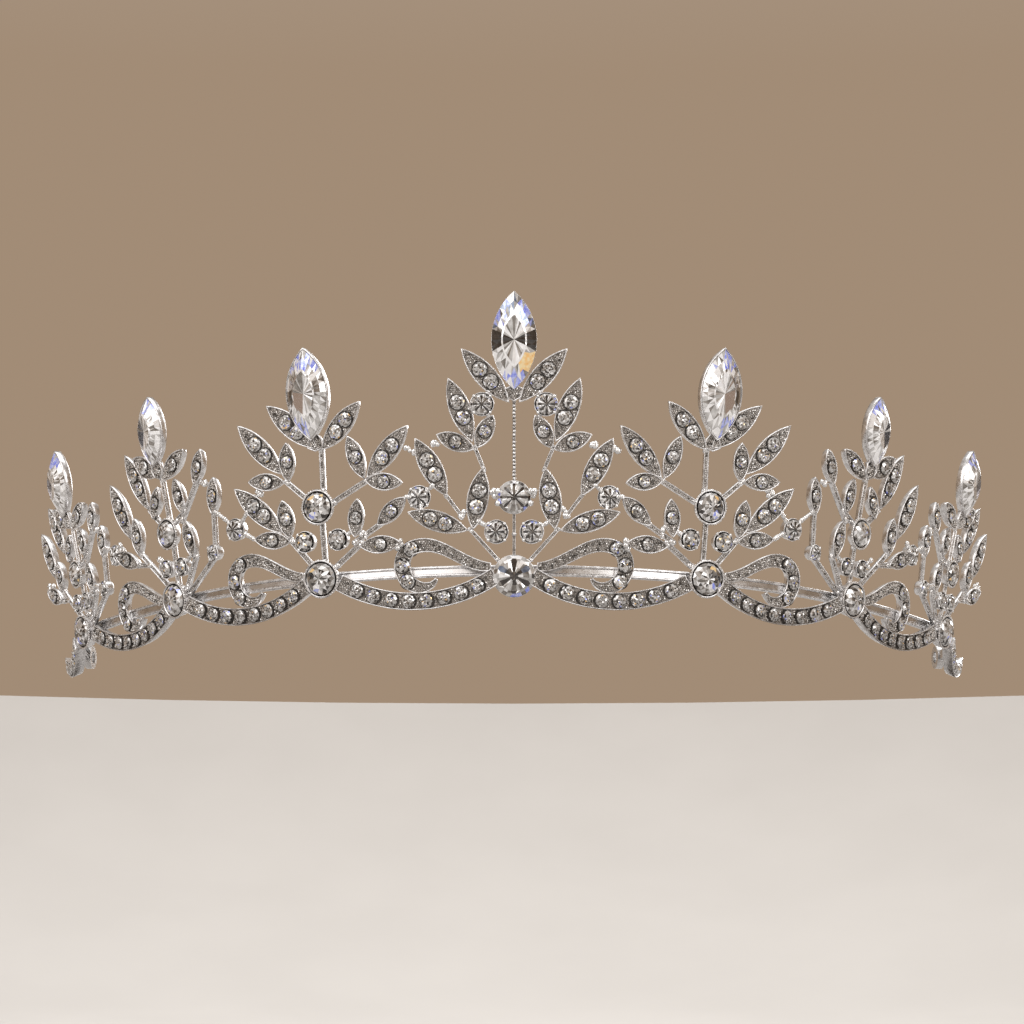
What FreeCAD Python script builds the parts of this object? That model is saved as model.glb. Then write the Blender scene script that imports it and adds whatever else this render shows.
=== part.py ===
"""Bridal tiara: seven jewelled sprays joined by scallops along a curved band.

Millimetres. The tiara stands on its scallops, at z = 0, and faces -Y.
"run" is a distance along the base curve from the front of the tiara. At every
run there is a local frame: across (along the curve), up (along the flared
surface) and proud (out of the surface, towards the viewer).
"""
import FreeCAD
import Part
import math
import os

Vector = FreeCAD.Vector
doc = FreeCAD.newDocument("tiara")

# ---------------------------------------------------------------- sizes

SIZES = {
    # plan of the tiara: three arcs on each side of the front
    "front_radius": 72.0, "front_run": 60.0,
    "side_radius": 150.0, "side_run": 30.0,
    "tail_radius": 40.0, "tail_run": 28.0,
    "flare_angle": 11.0, "motif_pitch": 30.0,
    "front_to_origin": 34.36, "base_lift": -0.19,
    # headband strip and its hairpin loops
    "band_low": 5.2, "band_tall": 1.5, "band_thick": 0.8, "band_back": 2.1,
    "loop_radius": 2.0, "loop_bore": 1.0, "loop_long": 1.2, "loop_lap": 0.3,
    # how far the backs and fronts of the pieces stand from the surface
    "casting_back": -2.3, "leaf_front": -1.0, "stem_middle": -1.75,
    "stem_radius": 0.45, "stem_reach": 0.6, "ball_radius": 0.6,
    # pavé leaves
    "leaf_wall": 0.35, "leaf_recess": 0.5, "leaf_full_width": 3.4,
    "chip_radius": 1.12, "chip_gap": 2.5, "chip_crown": 0.35, "chip_depth": 0.2,
    # round settings
    "cup_wall": 0.25, "cup_taper": 0.92, "cup_back": -1.9,
    "base_front": 0.0, "upper_front": -0.4, "small_front": -0.8,
    "seat_depth": 0.9, "crystal_crown": 0.8, "crystal_pavilion": 0.6,
    "girdle_sink": 0.2, "stone_clearance": 0.02,
    # marquise settings
    "marquise_back": -1.8, "marquise_front": -0.3, "marquise_wall": 0.25,
    "marquise_seat": 1.1, "marquise_crown": 1.5, "marquise_pavilion": 0.8,
    "marquise_table": 0.42, "marquise_keel": 0.12,
    # scallops and scrolls
    "scallop_radius": 24.0, "scallop_width": 2.7, "scallop_half_angle": 31.0,
    "scallop_thick": 1.8, "scallop_groove": 0.5, "scallop_rim": 0.3,
    "scallop_back": -2.8, "scallop_middle": 1.35, "scallop_chip": 1.05,
    "tail_half_angle": 25.0, "tail_scallop_run": 103.5, "chip_lift": 0.05,
    "scroll_thick": 1.4, "scroll_chip": 1.1,
}

# Shares and allowances that are the same on every piece.
OVERCUT = 1.0            # how far a cutting solid runs past the face it opens
GIRDLE_HALF = 0.05       # half the height of a round stone's girdle
CULET_SHARE = 0.3        # a round stone's flat foot, as a share of its radius
TABLE_SHARE = 0.55       # and its flat top
FLAT_FOOT = 0.01         # pavilion depth of a stone that sits on a flat bed
SLOT_SPREAD = 0.98       # a scallop's slot stops just short of its ends
INSIDE_SPREAD = 1.2      # the slice cut from inside a scallop is wider than it
ROW_SPREAD = 0.86        # share of a scallop's angle that its row of stones takes
SCALLOP_STONES = 8
TAIL_STONES = 6

sheet = doc.addObject("Spreadsheet::Sheet", "Sizes")
for row, (alias, value) in enumerate(SIZES.items(), start=1):
    sheet.set("A%d" % row, alias)
    sheet.set("B%d" % row, str(value))
    sheet.setAlias("B%d" % row, alias)
doc.recompute()


def size(alias):
    """The number in the sheet's cell of that alias."""
    return float(sheet.get(alias))


# The seven motifs: where along the curve, and the size of their large stones.
# Each marquise is (across, up, length, width, lean in degrees).
MOTIFS = {
    "centre": {"order": 0, "sides": (1,), "base": (0, 5.0, 3.15), "upper": (0, 17.0, 2.5),
               "marquise": (0, 40.9, 15.2, 7.0, 0)},
    "inner": {"order": 1, "sides": (1, -1), "base": (0.2, 5.8, 2.8), "upper": (0.1, 16.9, 2.6),
              "marquise": (0.5, 34.4, 14.6, 7.3, -1)},
    "mid": {"order": 2, "sides": (1, -1), "base": (0.3, 6.0, 2.8), "upper": (0.4, 16.7, 2.4),
            "marquise": (1.1, 33.3, 11.4, 6.2, 5)},
    "outer": {"order": 3, "sides": (1, -1), "base": (0.3, 5.4, 2.7), "upper": (0.4, 15.2, 2.2),
              "marquise": (1.5, 30.7, 11.4, 6.2, 5)},
}

# A leaf is (foot across, foot up, direction in degrees, gap at the foot, length,
# width, number of stones). Across counts outwards, away from the tiara's front.
CENTRE_LEAVES = [
    (0.6, 31.3, 48, 0.1, 11.2, 3.4, 2),
    (5.9, 24.2, 69, 1.2, 10.6, 3.4, 2),
    (5.9, 24.2, 117, 0.2, 5.8, 2.8, 1),
    (5.9, 24.2, 21, 0.1, 6.4, 2.8, 1),
    (6.3, 11.9, 99, 0.0, 9.7, 3.4, 2),
    (6.6, 11.7, 17, 0.4, 9.8, 3.2, 2),
    (10.2, 17.0, 61, 0.0, 10.3, 3.4, 2),
]
INNER_LEAVES = [
    (-0.8, 25.4, 42, 0.6, 11.4, 3.5, 2),
    (-0.8, 25.4, 136, 0.2, 10.0, 3.4, 2),
    (5.0, 21.2, 49, 1.6, 11.2, 3.4, 2),
    (5.3, 21.0, 92, 0.2, 6.2, 2.8, 1),
    (5.3, 21.2, 5, 0.5, 6.5, 2.8, 1),
    (-7.9, 20.2, 136, 0.5, 10.7, 3.4, 2),
    (-7.9, 20.2, 72, 0.3, 7.3, 2.9, 1),
    (-7.9, 20.2, 188, 0.1, 6.4, 2.8, 1),
    (5.3, 11.9, 44, 2.0, 11.2, 3.4, 2),
    (5.6, 11.9, 82, 0.5, 6.2, 2.9, 1),
    (5.3, 11.9, 8, 0.2, 6.5, 2.8, 1),
    (-5.5, 11.6, 99, 0.0, 6.1, 2.8, 1),
    (-9.5, 13.1, 142, 0.0, 6.5, 2.8, 1),
    (-6.1, 10.2, 180, 0.1, 7.2, 2.8, 1),
]
MID_LEAVES = [
    (1.0, 25.2, 37, 1.6, 6.6, 3.2, 1),
    (1.0, 25.2, 150, 0.3, 7.8, 3.1, 1),
    (5.0, 20.8, 66, 0.6, 10.6, 3.3, 2),
    (4.4, 19.6, 116, 0.0, 5.5, 2.6, 1),
    (-3.5, 19.2, 80, 0.0, 6.0, 2.7, 1),
    (-7.4, 23.2, 118, 0.0, 6.0, 2.8, 1),
    (-4.9, 11.7, 80, 0.0, 6.6, 2.8, 1),
    (-11.0, 17.8, 104, 0.0, 6.0, 2.8, 1),
    (10.8, 17.4, 69, 0.0, 10.2, 3.3, 2),
    (9.2, 14.4, 90, 0.0, 6.2, 2.8, 1),
    (9.0, 12.6, 24, 0.6, 6.8, 2.8, 1),
]

# A stem is a straight rod: (across, up, across, up).
CENTRE_STEMS = [
    (5.9, 24.3, 4.7, 21.4), (6.5, 11.8, 2.5, 7.4), (10.3, 17.1, 8.1, 14.2),
]
CENTRE_AXIS_STEMS = [(0, 19.3, 0, 31.6), (0, 14.7, 0, 7.9)]
INNER_STEMS = [
    (-0.6, 19.3, -0.8, 25.6), (0.0, 14.5, 0.0, 8.4),
    (2.2, 18.1, 5.5, 21.1), (-2.2, 17.4, -8.0, 20.1),
    (2.1, 7.8, 5.5, 12.0), (-2.1, 7.6, -6.2, 10.5), (-5.6, 11.0, -9.7, 13.2),
]
MID_STEMS = [
    (0.5, 19.0, 1.0, 25.4), (0.3, 14.4, 0.3, 8.6),
    (2.1, 17.8, 5.1, 21.0), (-1.4, 18.4, -3.5, 19.4), (-2.9, 18.4, -7.5, 23.4),
    (2.2, 7.8, 9.1, 14.6), (9.1, 14.6, 10.9, 17.8), (7.4, 12.6, 9.8, 12.9),
    (-2.0, 7.7, -4.9, 11.8), (-2.3, 6.6, -9.8, 11.2), (-10.3, 12.6, -11.0, 18.0),
]

# Small round settings: (across, up, outside radius).
CENTRE_ROUNDS = [(4.9, 31.2, 1.8), (2.7, 11.7, 1.8)]
INNER_ROUNDS = [(2.9, 11.7, 1.65), (-2.8, 11.6, 1.65)]
MID_ROUNDS = [(2.3, 11.2, 1.5), (-1.7, 11.0, 1.5), (-10.2, 11.9, 1.3)]

# Solder balls that join neighbouring leaves: (across, up).
CENTRE_BALLS = [(3.0, 18.0), (3.4, 17.1), (12.3, 25.0), (7.9, 14.3), (15.7, 24.2)]
INNER_BALLS = [(11.0, 20.0), (-7.2, 12.0), (-13.0, 9.9)]
MID_BALLS = [(4.3, 12.4), (-9.4, 23.2), (14.6, 16.6)]

# Star-set rounds between neighbouring motifs: (run, up, outside radius).
CONNECTORS = [(14.1, 17.3, 1.75), (45.5, 15.1, 1.75), (76.2, 15.8, 1.7)]

# The outer motif is the mid motif, lower and narrower: heights above this pivot
# shrink, and so does what lies across.
OUTER_PIVOT = 5.5
OUTER_SHRINK = 0.87
OUTER_NARROW = 0.88


def lowered(height):
    """A height of the mid motif, as it is on the outer motif."""
    return OUTER_PIVOT + (height - OUTER_PIVOT) * OUTER_SHRINK


OUTER_LEAVES = [
    (across * OUTER_NARROW, lowered(up), turn, gap, length * OUTER_NARROW, width, stones)
    for across, up, turn, gap, length, width, stones in MID_LEAVES
]
OUTER_STEMS = [
    (from_across * OUTER_NARROW, lowered(from_up), to_across * OUTER_NARROW, lowered(to_up))
    for from_across, from_up, to_across, to_up in MID_STEMS
]
OUTER_ROUNDS = [(across * OUTER_NARROW, lowered(up), radius) for across, up, radius in MID_ROUNDS]
OUTER_BALLS = [(across * OUTER_NARROW, lowered(up)) for across, up in MID_BALLS]

SPRAYS = {
    "centre": (CENTRE_LEAVES, CENTRE_STEMS, CENTRE_ROUNDS, CENTRE_BALLS),
    "inner": (INNER_LEAVES, INNER_STEMS, INNER_ROUNDS, INNER_BALLS),
    "mid": (MID_LEAVES, MID_STEMS, MID_ROUNDS, MID_BALLS),
    "outer": (OUTER_LEAVES, OUTER_STEMS, OUTER_ROUNDS, OUTER_BALLS),
}

# ---------------------------------------------------------------- the surface

ARCS = [
    (size("front_run"), size("front_radius")),
    (size("side_run"), size("side_radius")),
    (size("tail_run"), size("tail_radius")),
]


def plan(run):
    """Point (x, y) and heading in radians of the base curve at a run."""
    side = -1 if run < 0 else 1
    left = abs(run)
    x = y = heading = 0.0
    for length, radius in ARCS:
        turn = min(left, length) / radius
        x += radius * (math.sin(heading + turn) - math.sin(heading))
        y += radius * (math.cos(heading) - math.cos(heading + turn))
        heading += turn
        left -= min(left, length)
    return side * x, y - size("front_to_origin"), side * heading


def local_axes(run):
    """Across, up and proud unit vectors of the flared surface at a run."""
    heading = plan(run)[2]
    flare = math.radians(size("flare_angle"))
    across = Vector(math.cos(heading), math.sin(heading), 0)
    outward = Vector(math.sin(heading), -math.cos(heading), 0)
    up = outward * math.sin(flare) + Vector(0, 0, math.cos(flare))
    return across, up, across.cross(up)


def place(side, run, across, up, proud, turn=0):
    """Placement of a piece whose own Z points out of the surface.

    turn is the direction of its own X, in degrees from across towards up.
    side is 1 on the right and -1 on the left, where across and turn mirror.
    """
    x, y, _ = plan(side * run)
    axis_across, axis_up, axis_proud = local_axes(side * run)
    point = Vector(x, y, size("base_lift"))
    point = point + axis_across * (side * across) + axis_up * up + axis_proud * proud
    if side < 0:
        turn = 180 - turn
    basis = FreeCAD.Rotation(axis_across, axis_up, axis_proud, "ZXY")
    return FreeCAD.Placement(point, basis * FreeCAD.Rotation(Vector(0, 0, 1), turn))


def placed(shape, placement):
    """A copy of a shape at a placement."""
    copy = shape.copy()
    copy.Placement = placement.multiply(copy.Placement)
    return copy


# ---------------------------------------------------------------- piece makers

nodes = []


def keep(item, label):
    """Names a document object as one of the pieces that are written out."""
    item.Label = label
    nodes.append(item)
    return item


def feature(label, shape):
    """A piece whose shape is made with Part's own functions."""
    item = doc.addObject("Part::Feature", label)
    item.Shape = shape
    return keep(item, label)


def group(label, solids):
    """A piece made of separate solids of one kind."""
    return feature(label, Part.makeCompound(solids))


def lens_wire(length, width, height=0.0):
    """A pointed oval of two arcs, along X."""
    half, bulge = length / 2, width / 2
    left, right = Vector(-half, 0, height), Vector(half, 0, height)
    upper = Part.Arc(left, Vector(0, bulge, height), right).toShape()
    lower = Part.Arc(right, Vector(0, -bulge, height), left).toShape()
    return Part.Wire([upper, lower])


def lens_prism(length, width, low, high):
    """A pointed oval plate between two heights."""
    return Part.Face(lens_wire(length, width, low)).extrude(Vector(0, 0, high - low))


def inset_lens(length, width, wall):
    """Length and width of the pointed oval that lies a wall inside another."""
    radius = (length ** 2 + width ** 2) / (4 * width)
    sagitta = width / 2 - wall
    return 2 * math.sqrt((radius - wall) ** 2 - (radius - wall - sagitta) ** 2), 2 * sagitta


def chip_offsets(stones):
    """Where the stones of a leaf sit along it, from its middle."""
    gap = size("chip_gap")
    return [gap * (index - (stones - 1) / 2) for index in range(stones)]


def leaf_chip_radius(width):
    """Radius of the stones of a leaf: narrower leaves have smaller stones."""
    return size("chip_radius") * width / size("leaf_full_width")


def leaf_tray(length, width, stones):
    """A leaf-shaped setting: a plate with a raised rim and drilled seats."""
    back, front = size("casting_back"), size("leaf_front")
    floor = front - size("leaf_recess")
    inner_length, inner_width = inset_lens(length, width, size("leaf_wall"))
    tray = lens_prism(length, width, back, front)
    tray = tray.cut(lens_prism(inner_length, inner_width, floor, front + OVERCUT))
    for offset in chip_offsets(stones):
        seat = Part.makeCylinder(leaf_chip_radius(width) + size("stone_clearance"),
                                 size("chip_depth"), Vector(offset, 0, floor - size("chip_depth")))
        tray = tray.cut(seat)
    return tray


def round_crystal(radius, crown, pavilion):
    """A round stone with its girdle at z = 0: crown above, pavilion below."""
    profile = Part.makePolygon([
        Vector(0, 0, -pavilion), Vector(radius * CULET_SHARE, 0, -pavilion),
        Vector(radius, 0, -GIRDLE_HALF), Vector(radius, 0, GIRDLE_HALF),
        Vector(radius * TABLE_SHARE, 0, crown), Vector(0, 0, crown), Vector(0, 0, -pavilion),
    ])
    return Part.Face(profile).revolve(Vector(0, 0, 0), Vector(0, 0, 1), 360)


def marquise_crystal(length, width):
    """A pointed-oval stone with its girdle at z = 0."""
    table, keel = size("marquise_table"), size("marquise_keel")
    return Part.makeLoft([
        lens_wire(length * keel, width * keel, -size("marquise_pavilion")),
        lens_wire(length, width, 0),
        lens_wire(length * table, width * table, size("marquise_crown")),
    ], True, True)


def parametric_cylinder(name, radius, height, base=None):
    """A Part cylinder bound to the sheet. Each size is an expression."""
    item = doc.addObject("Part::Cylinder", name)
    item.setExpression("Radius", radius)
    item.setExpression("Height", height)
    if base:
        item.setExpression(".Placement.Base.z", base)
    return item


def cut(name, base, tool):
    """Part cut of two document objects."""
    item = doc.addObject("Part::Cut", name)
    item.Base = base
    item.Tool = tool
    return item


def round_cup(label, radius, front, placement):
    """A round bezel cup: a tapered wall with a seat for its stone."""
    outer = doc.addObject("Part::Cone", label + "_wall")
    outer.setExpression("Radius1", "%.3f * Sizes.cup_taper * 1 mm" % radius)
    outer.setExpression("Radius2", "%.3f mm" % radius)
    outer.setExpression("Height", "(Sizes.%s - Sizes.cup_back) * 1 mm" % front)
    outer.setExpression(".Placement.Base.z", "Sizes.cup_back * 1 mm")
    seat = parametric_cylinder(label + "_seat", "(%.3f - Sizes.cup_wall) * 1 mm" % radius,
                               "(Sizes.seat_depth + %.1f) * 1 mm" % OVERCUT,
                               "(Sizes.%s - Sizes.seat_depth) * 1 mm" % front)
    cup = cut(label, outer, seat)
    cup.Placement = placement
    return keep(cup, label)


def crystal_in_cup(radius, front):
    """The stone of a round cup, its girdle just under the cup's rim."""
    stone = round_crystal(radius - size("cup_wall") - size("stone_clearance"),
                          size("crystal_crown"), size("crystal_pavilion"))
    stone.translate(Vector(0, 0, size(front) - size("girdle_sink")))
    return stone


def parametric_lens(name, length, width, height, base):
    """A pointed-oval plate: the overlap of two bound cylinders."""
    halves = []
    for sign in (1, -1):
        half = doc.addObject("Part::Cylinder", "%s_arc_%s" % (name, "a" if sign > 0 else "b"))
        radius = "((%s)^2 + (%s)^2) / (4 * (%s))" % (length, width, width)
        half.setExpression("Radius", radius + " * 1 mm")
        half.setExpression("Height", "(%s) * 1 mm" % height)
        half.setExpression(".Placement.Base.y", "%d * (%s - (%s) / 2) * 1 mm" % (sign, radius, width))
        half.setExpression(".Placement.Base.z", "(%s) * 1 mm" % base)
        halves.append(half)
    lens = doc.addObject("Part::Common", name)
    lens.Base, lens.Tool = halves
    return lens


def marquise_setting(label, length, width, placement):
    """A pointed-oval cup that holds a marquise stone by its girdle."""
    wall = parametric_lens(label + "_wall", "%.3f" % length, "%.3f" % width,
                           "Sizes.marquise_front - Sizes.marquise_back", "Sizes.marquise_back")
    inner_length, inner_width = inset_lens(length, width, size("marquise_wall"))
    seat = parametric_lens(label + "_seat", "%.3f" % inner_length, "%.3f" % inner_width,
                           "Sizes.marquise_seat + %.1f" % OVERCUT,
                           "Sizes.marquise_front - Sizes.marquise_seat")
    cup = cut(label, wall, seat)
    cup.Placement = placement
    return keep(cup, label)


# ---------------------------------------------------------------- headband

def band_edge(offset, height):
    """Edges of the headband's plan, from the left tail round to the right."""
    stops = [0]
    for length, _ in ARCS:
        stops.append(stops[-1] + length)
    runs = [-stop for stop in reversed(stops)] + stops[1:]

    def point(run):
        x, y, heading = plan(run)
        return Vector(x + offset * math.sin(heading), y - offset * math.cos(heading), height)

    edges = []
    for start, end in zip(runs, runs[1:]):
        edges.append(Part.Arc(point(start), point((start + end) / 2), point(end)).toShape())
    return edges, point(runs[0]), point(runs[-1])


def headband():
    """The springy strip behind the sprays, with a hairpin loop at each end."""
    low, tall, thick = size("band_low"), size("band_tall"), size("band_thick")
    front_edges, front_left, front_right = band_edge(-size("band_back") + thick, low)
    back_edges, back_left, back_right = band_edge(-size("band_back"), low)
    outline = Part.Wire(Part.__sortEdges__(
        front_edges + back_edges
        + [Part.LineSegment(front_left, back_left).toShape(),
           Part.LineSegment(front_right, back_right).toShape()]))
    band = Part.Face(outline).extrude(Vector(0, 0, tall))
    end = sum(length for length, _ in ARCS)
    bores = []
    for side in (1, -1):
        x, y, heading = plan(side * end)
        outward = Vector(math.sin(heading), -math.cos(heading), 0)
        along = Vector(math.cos(heading), math.sin(heading), 0) * side
        middle = Vector(x, y, low + tall / 2)
        middle += outward * (thick / 2 - size("band_back"))
        middle += along * (size("loop_radius") - size("loop_lap"))
        start = middle - outward * (size("loop_long") / 2)
        ring = Part.makeCylinder(size("loop_radius"), size("loop_long"), start, outward)
        bore = Part.makeCylinder(size("loop_bore"), size("loop_long") * 3,
                                 middle - outward * (size("loop_long") * 1.5), outward)
        band = band.fuse(ring)
        bores.append(bore)
    for bore in bores:
        band = band.cut(bore)
    return feature("headband", band.removeSplitter())


# ---------------------------------------------------------------- sprays

def along(foot, turn, distance):
    """The point a distance from a foot in a direction."""
    angle = math.radians(turn)
    return foot[0] + distance * math.cos(angle), foot[1] + distance * math.sin(angle)


def leaf_pieces(side, run, leaves):
    """Trays and stones of a list of leaves."""
    trays, stones = [], []
    for across, up, turn, gap, length, width, count in leaves:
        middle = along((across, up), turn, gap + length / 2)
        spot = place(side, run, middle[0], middle[1], 0, turn)
        trays.append(placed(leaf_tray(length, width, count), spot))
        stone = round_crystal(leaf_chip_radius(width), size("chip_crown"), size("chip_depth"))
        for offset in chip_offsets(count):
            seated = stone.copy()
            seated.translate(Vector(offset, 0, size("leaf_front") - size("leaf_recess")))
            stones.append(placed(seated, spot))
    return trays, stones


def stem_rod(side, run, stem):
    """A straight round rod that reaches a little past two points of the motif's plane."""
    from_across, from_up, to_across, to_up = stem
    turn = math.degrees(math.atan2(to_up - from_up, to_across - from_across))
    reach = size("stem_reach")
    length = math.hypot(to_up - from_up, to_across - from_across) + 2 * reach
    rod = Part.makeCylinder(size("stem_radius"), length, Vector(-reach, 0, 0), Vector(1, 0, 0))
    return placed(rod, place(side, run, from_across, from_up, size("stem_middle"), turn))


def solder_ball(side, run, across, up):
    """A small ball of solder between two leaves."""
    ball = Part.makeSphere(size("ball_radius"))
    return placed(ball, place(side, run, across, up, size("stem_middle")))


def small_cup(radius):
    """A small round setting."""
    back, front = size("casting_back"), size("small_front")
    cup = Part.makeCone(radius * size("cup_taper"), radius, front - back, Vector(0, 0, back))
    seat = Part.makeCylinder(radius - size("cup_wall"), size("seat_depth") + OVERCUT,
                             Vector(0, 0, front - size("seat_depth")))
    return cup.cut(seat)


small_cups, small_stones = [], []
base_stones, upper_stones, marquise_stones, leaf_stones = [], [], [], []


def side_label(name, side):
    """centre_leaves, or inner_leaves_left and inner_leaves_right."""
    if name.startswith("centre"):
        return name
    return name + ("_right" if side > 0 else "_left")


def build_motif(name, motif):
    """All pieces of one kind of motif, on each side where it stands."""
    run = motif["order"] * size("motif_pitch")
    leaves, stems, rounds, balls = SPRAYS[name]
    for side in motif["sides"]:
        halves = (1, -1) if name == "centre" else (side,)
        trays, rods, drops = [], [], []
        for half in halves:
            new_trays, new_stones = leaf_pieces(half, run, leaves)
            trays += new_trays
            leaf_stones.extend(new_stones)
            rods += [stem_rod(half, run, stem) for stem in stems]
            drops += [solder_ball(half, run, across, up) for across, up in balls]
            for across, up, radius in rounds:
                spot = place(half, run, across, up, 0)
                small_cups.append(placed(small_cup(radius), spot))
                small_stones.append(placed(crystal_in_cup(radius, "small_front"), spot))
        if name == "centre":
            rods += [stem_rod(1, run, stem) for stem in CENTRE_AXIS_STEMS]
        group(side_label(name + "_leaves", side), trays)
        group(side_label(name + "_stems", side), rods + drops)
        for part_name, front, stones in (("base", "base_front", base_stones),
                                         ("upper", "upper_front", upper_stones)):
            across, up, radius = motif[part_name]
            spot = place(side, run, across, up, 0)
            round_cup(side_label("%s_%s_setting" % (name, part_name), side), radius, front, spot)
            stones.append(placed(crystal_in_cup(radius, front), spot))
        across, up, length, width, lean = motif["marquise"]
        spot = place(side, run, across, up, 0, 90 + lean)
        marquise_setting(side_label(name + "_marquise_setting", side), length, width, spot)
        wall = size("marquise_wall") + size("stone_clearance")
        stone = marquise_crystal(*inset_lens(length, width, wall))
        stone.translate(Vector(0, 0, size("marquise_front") - size("girdle_sink")))
        marquise_stones.append(placed(stone, spot))


# ---------------------------------------------------------------- scallops and scrolls

def ring_sector(name, radius, half_angle, height, base):
    """A bound pie slice of a cylinder, symmetrical about -Y."""
    item = doc.addObject("Part::Cylinder", name)
    item.setExpression("Radius", "(%s) * 1 mm" % radius)
    item.setExpression("Height", "(%s) * 1 mm" % height)
    item.setExpression("Angle", "2 * %s * 1 deg" % half_angle)
    item.setExpression(".Placement.Base.z", "(%s) * 1 mm" % base)
    item.setExpression(".Placement.Rotation.Angle", "(270 - %s) * 1 deg" % half_angle)
    return item


def scallop_channel(label, side, run, half_angle):
    """A curved channel, open at the front, for a row of stones."""
    back, thick, groove = "Sizes.scallop_back", "Sizes.scallop_thick", "Sizes.scallop_groove"
    outside = "Sizes.scallop_radius + Sizes.scallop_width / 2"
    inside = "Sizes.scallop_radius - Sizes.scallop_width / 2"
    body = cut(label + "_body",
               ring_sector(label + "_outside", outside, half_angle, thick, back),
               ring_sector(label + "_inside", inside, "%s * %.1f" % (half_angle, INSIDE_SPREAD),
                           "%s + %.1f" % (thick, 2 * OVERCUT), "%s - %.1f" % (back, OVERCUT)))
    floor = "%s + %s - %s" % (back, thick, groove)
    slot = cut(label + "_slot",
               ring_sector(label + "_slot_outside", outside + " - Sizes.scallop_rim",
                           "%s * %.2f" % (half_angle, SLOT_SPREAD),
                           "%s + %.1f" % (groove, OVERCUT), floor),
               ring_sector(label + "_slot_inside", inside + " + Sizes.scallop_rim", half_angle,
                           "%s + %.1f" % (groove, 3 * OVERCUT), "%s - %.1f" % (floor, OVERCUT)))
    channel = cut(label, body, slot)
    centre_up = size("scallop_middle") + size("scallop_radius")
    channel.Placement = place(1, side * run, 0, centre_up, 0)
    return keep(channel, label)


def scallop_stones(side, run, half_angle, count):
    """The row of stones of one scallop."""
    stones = []
    floor = size("scallop_back") + size("scallop_thick") - size("scallop_groove")
    radius = size("scallop_radius")
    stone = round_crystal(size("scallop_chip"), size("chip_crown"), FLAT_FOOT)
    stone.translate(Vector(0, 0, floor + size("chip_lift")))
    step = 2 * half_angle * ROW_SPREAD / count
    for index in range(count):
        angle = math.radians(step * (index - (count - 1) / 2))
        across = radius * math.sin(angle)
        up = size("scallop_middle") + radius * (1 - math.cos(angle))
        stones.append(placed(stone, place(side, run, across, up, 0)))
    return stones


# The scroll's middle line and its width, from the bezel out to the curled tip.
SCROLL = [
    (-11.6, 6.2, 1.2), (-6.0, 8.2, 1.8), (-1.0, 9.9, 2.2), (1.6, 8.9, 2.4),
    (2.35, 6.8, 2.6), (1.6, 4.6, 2.4), (-0.2, 3.5, 1.9), (-2.0, 3.7, 1.2), (-3.0, 4.7, 0.5),
]
SCROLL_CHIPS = [(0.9, 9.4), (2.3, 6.9), (1.6, 4.4)]


def scroll_plate(side, run):
    """An S-shaped band that swells and curls back on itself."""
    middle = Part.BSplineCurve()
    middle.interpolate([Vector(x, y, 0) for x, y, _ in SCROLL])
    outer, inner = [], []
    for x, y, width in SCROLL:
        point = Vector(x, y, 0)
        heading = middle.tangent(middle.parameter(point))[0]
        sideways = Vector(-heading.y, heading.x, 0) * (width / 2)
        outer.append(point + sideways)
        inner.append(point - sideways)
    edges = []
    for points in (outer, list(reversed(inner))):
        curve = Part.BSplineCurve()
        curve.interpolate(points)
        edges.append(curve.toShape())
    edges.insert(1, Part.LineSegment(outer[-1], inner[-1]).toShape())
    edges.append(Part.LineSegment(inner[0], outer[0]).toShape())
    plate = Part.Face(Part.Wire(edges)).extrude(Vector(0, 0, size("scroll_thick")))
    plate.translate(Vector(0, 0, size("scallop_back")))
    if side < 0:
        plate = plate.mirror(Vector(0, 0, 0), Vector(1, 0, 0))
    return placed(plate, place(1, side * run, 0, 0, 0))


headband()
for motif_name, motif_data in MOTIFS.items():
    build_motif(motif_name, motif_data)

scallop_chips, scroll_chips = [], []
pitch = size("motif_pitch")
for order, name in enumerate(("front", "middle", "rear")):
    run = pitch * (order + 0.5)
    for side, side_name in ((1, "right"), (-1, "left")):
        scallop_channel("%s_scallop_%s" % (name, side_name), side, run,
                        "Sizes.scallop_half_angle")
        scallop_chips += scallop_stones(side, run, size("scallop_half_angle"), SCALLOP_STONES)
        feature("%s_scroll_%s" % (name, side_name), scroll_plate(side, run))
        chip = round_crystal(size("scroll_chip"), size("chip_crown"), FLAT_FOOT)
        face = size("scallop_back") + size("scroll_thick")
        chip.translate(Vector(0, 0, face + size("chip_lift")))
        scroll_chips += [placed(chip, place(side, run, a, b, 0)) for a, b in SCROLL_CHIPS]
for side, side_name in ((1, "right"), (-1, "left")):
    scallop_channel("tail_scallop_%s" % side_name, side, size("tail_scallop_run"),
                    "Sizes.tail_half_angle")
    scallop_chips += scallop_stones(side, size("tail_scallop_run"), size("tail_half_angle"),
                                    TAIL_STONES)
for run, up, radius in CONNECTORS:
    for side in (1, -1):
        spot = place(side, run, 0, up, 0)
        small_cups.append(placed(small_cup(radius), spot))
        small_stones.append(placed(crystal_in_cup(radius, "small_front"), spot))

group("small_settings", small_cups)
group("small_crystals", small_stones)
group("base_crystals", base_stones)
group("upper_crystals", upper_stones)
group("marquise_crystals", marquise_stones)
group("leaf_crystals", leaf_stones)
group("scallop_crystals", scallop_chips)
group("scroll_crystals", scroll_chips)

# ---------------------------------------------------------------- write

doc.recompute()
for item in doc.Objects:
    if "Invalid" in item.State or "Error" in item.State:
        raise RuntimeError("%s failed: %s" % (item.Label, item.State))
for item in nodes:
    if item.Shape.isNull() or not item.Shape.isValid():
        raise RuntimeError("%s has no valid shape" % item.Label)

os.makedirs("parts", exist_ok=True)
box = FreeCAD.BoundBox()
for item in nodes:
    item.Shape.exportStep(os.path.join("parts", item.Label + ".step"))
    box.add(item.Shape.BoundBox)
print("%d pieces, box %s" % (len(nodes), box))
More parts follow.
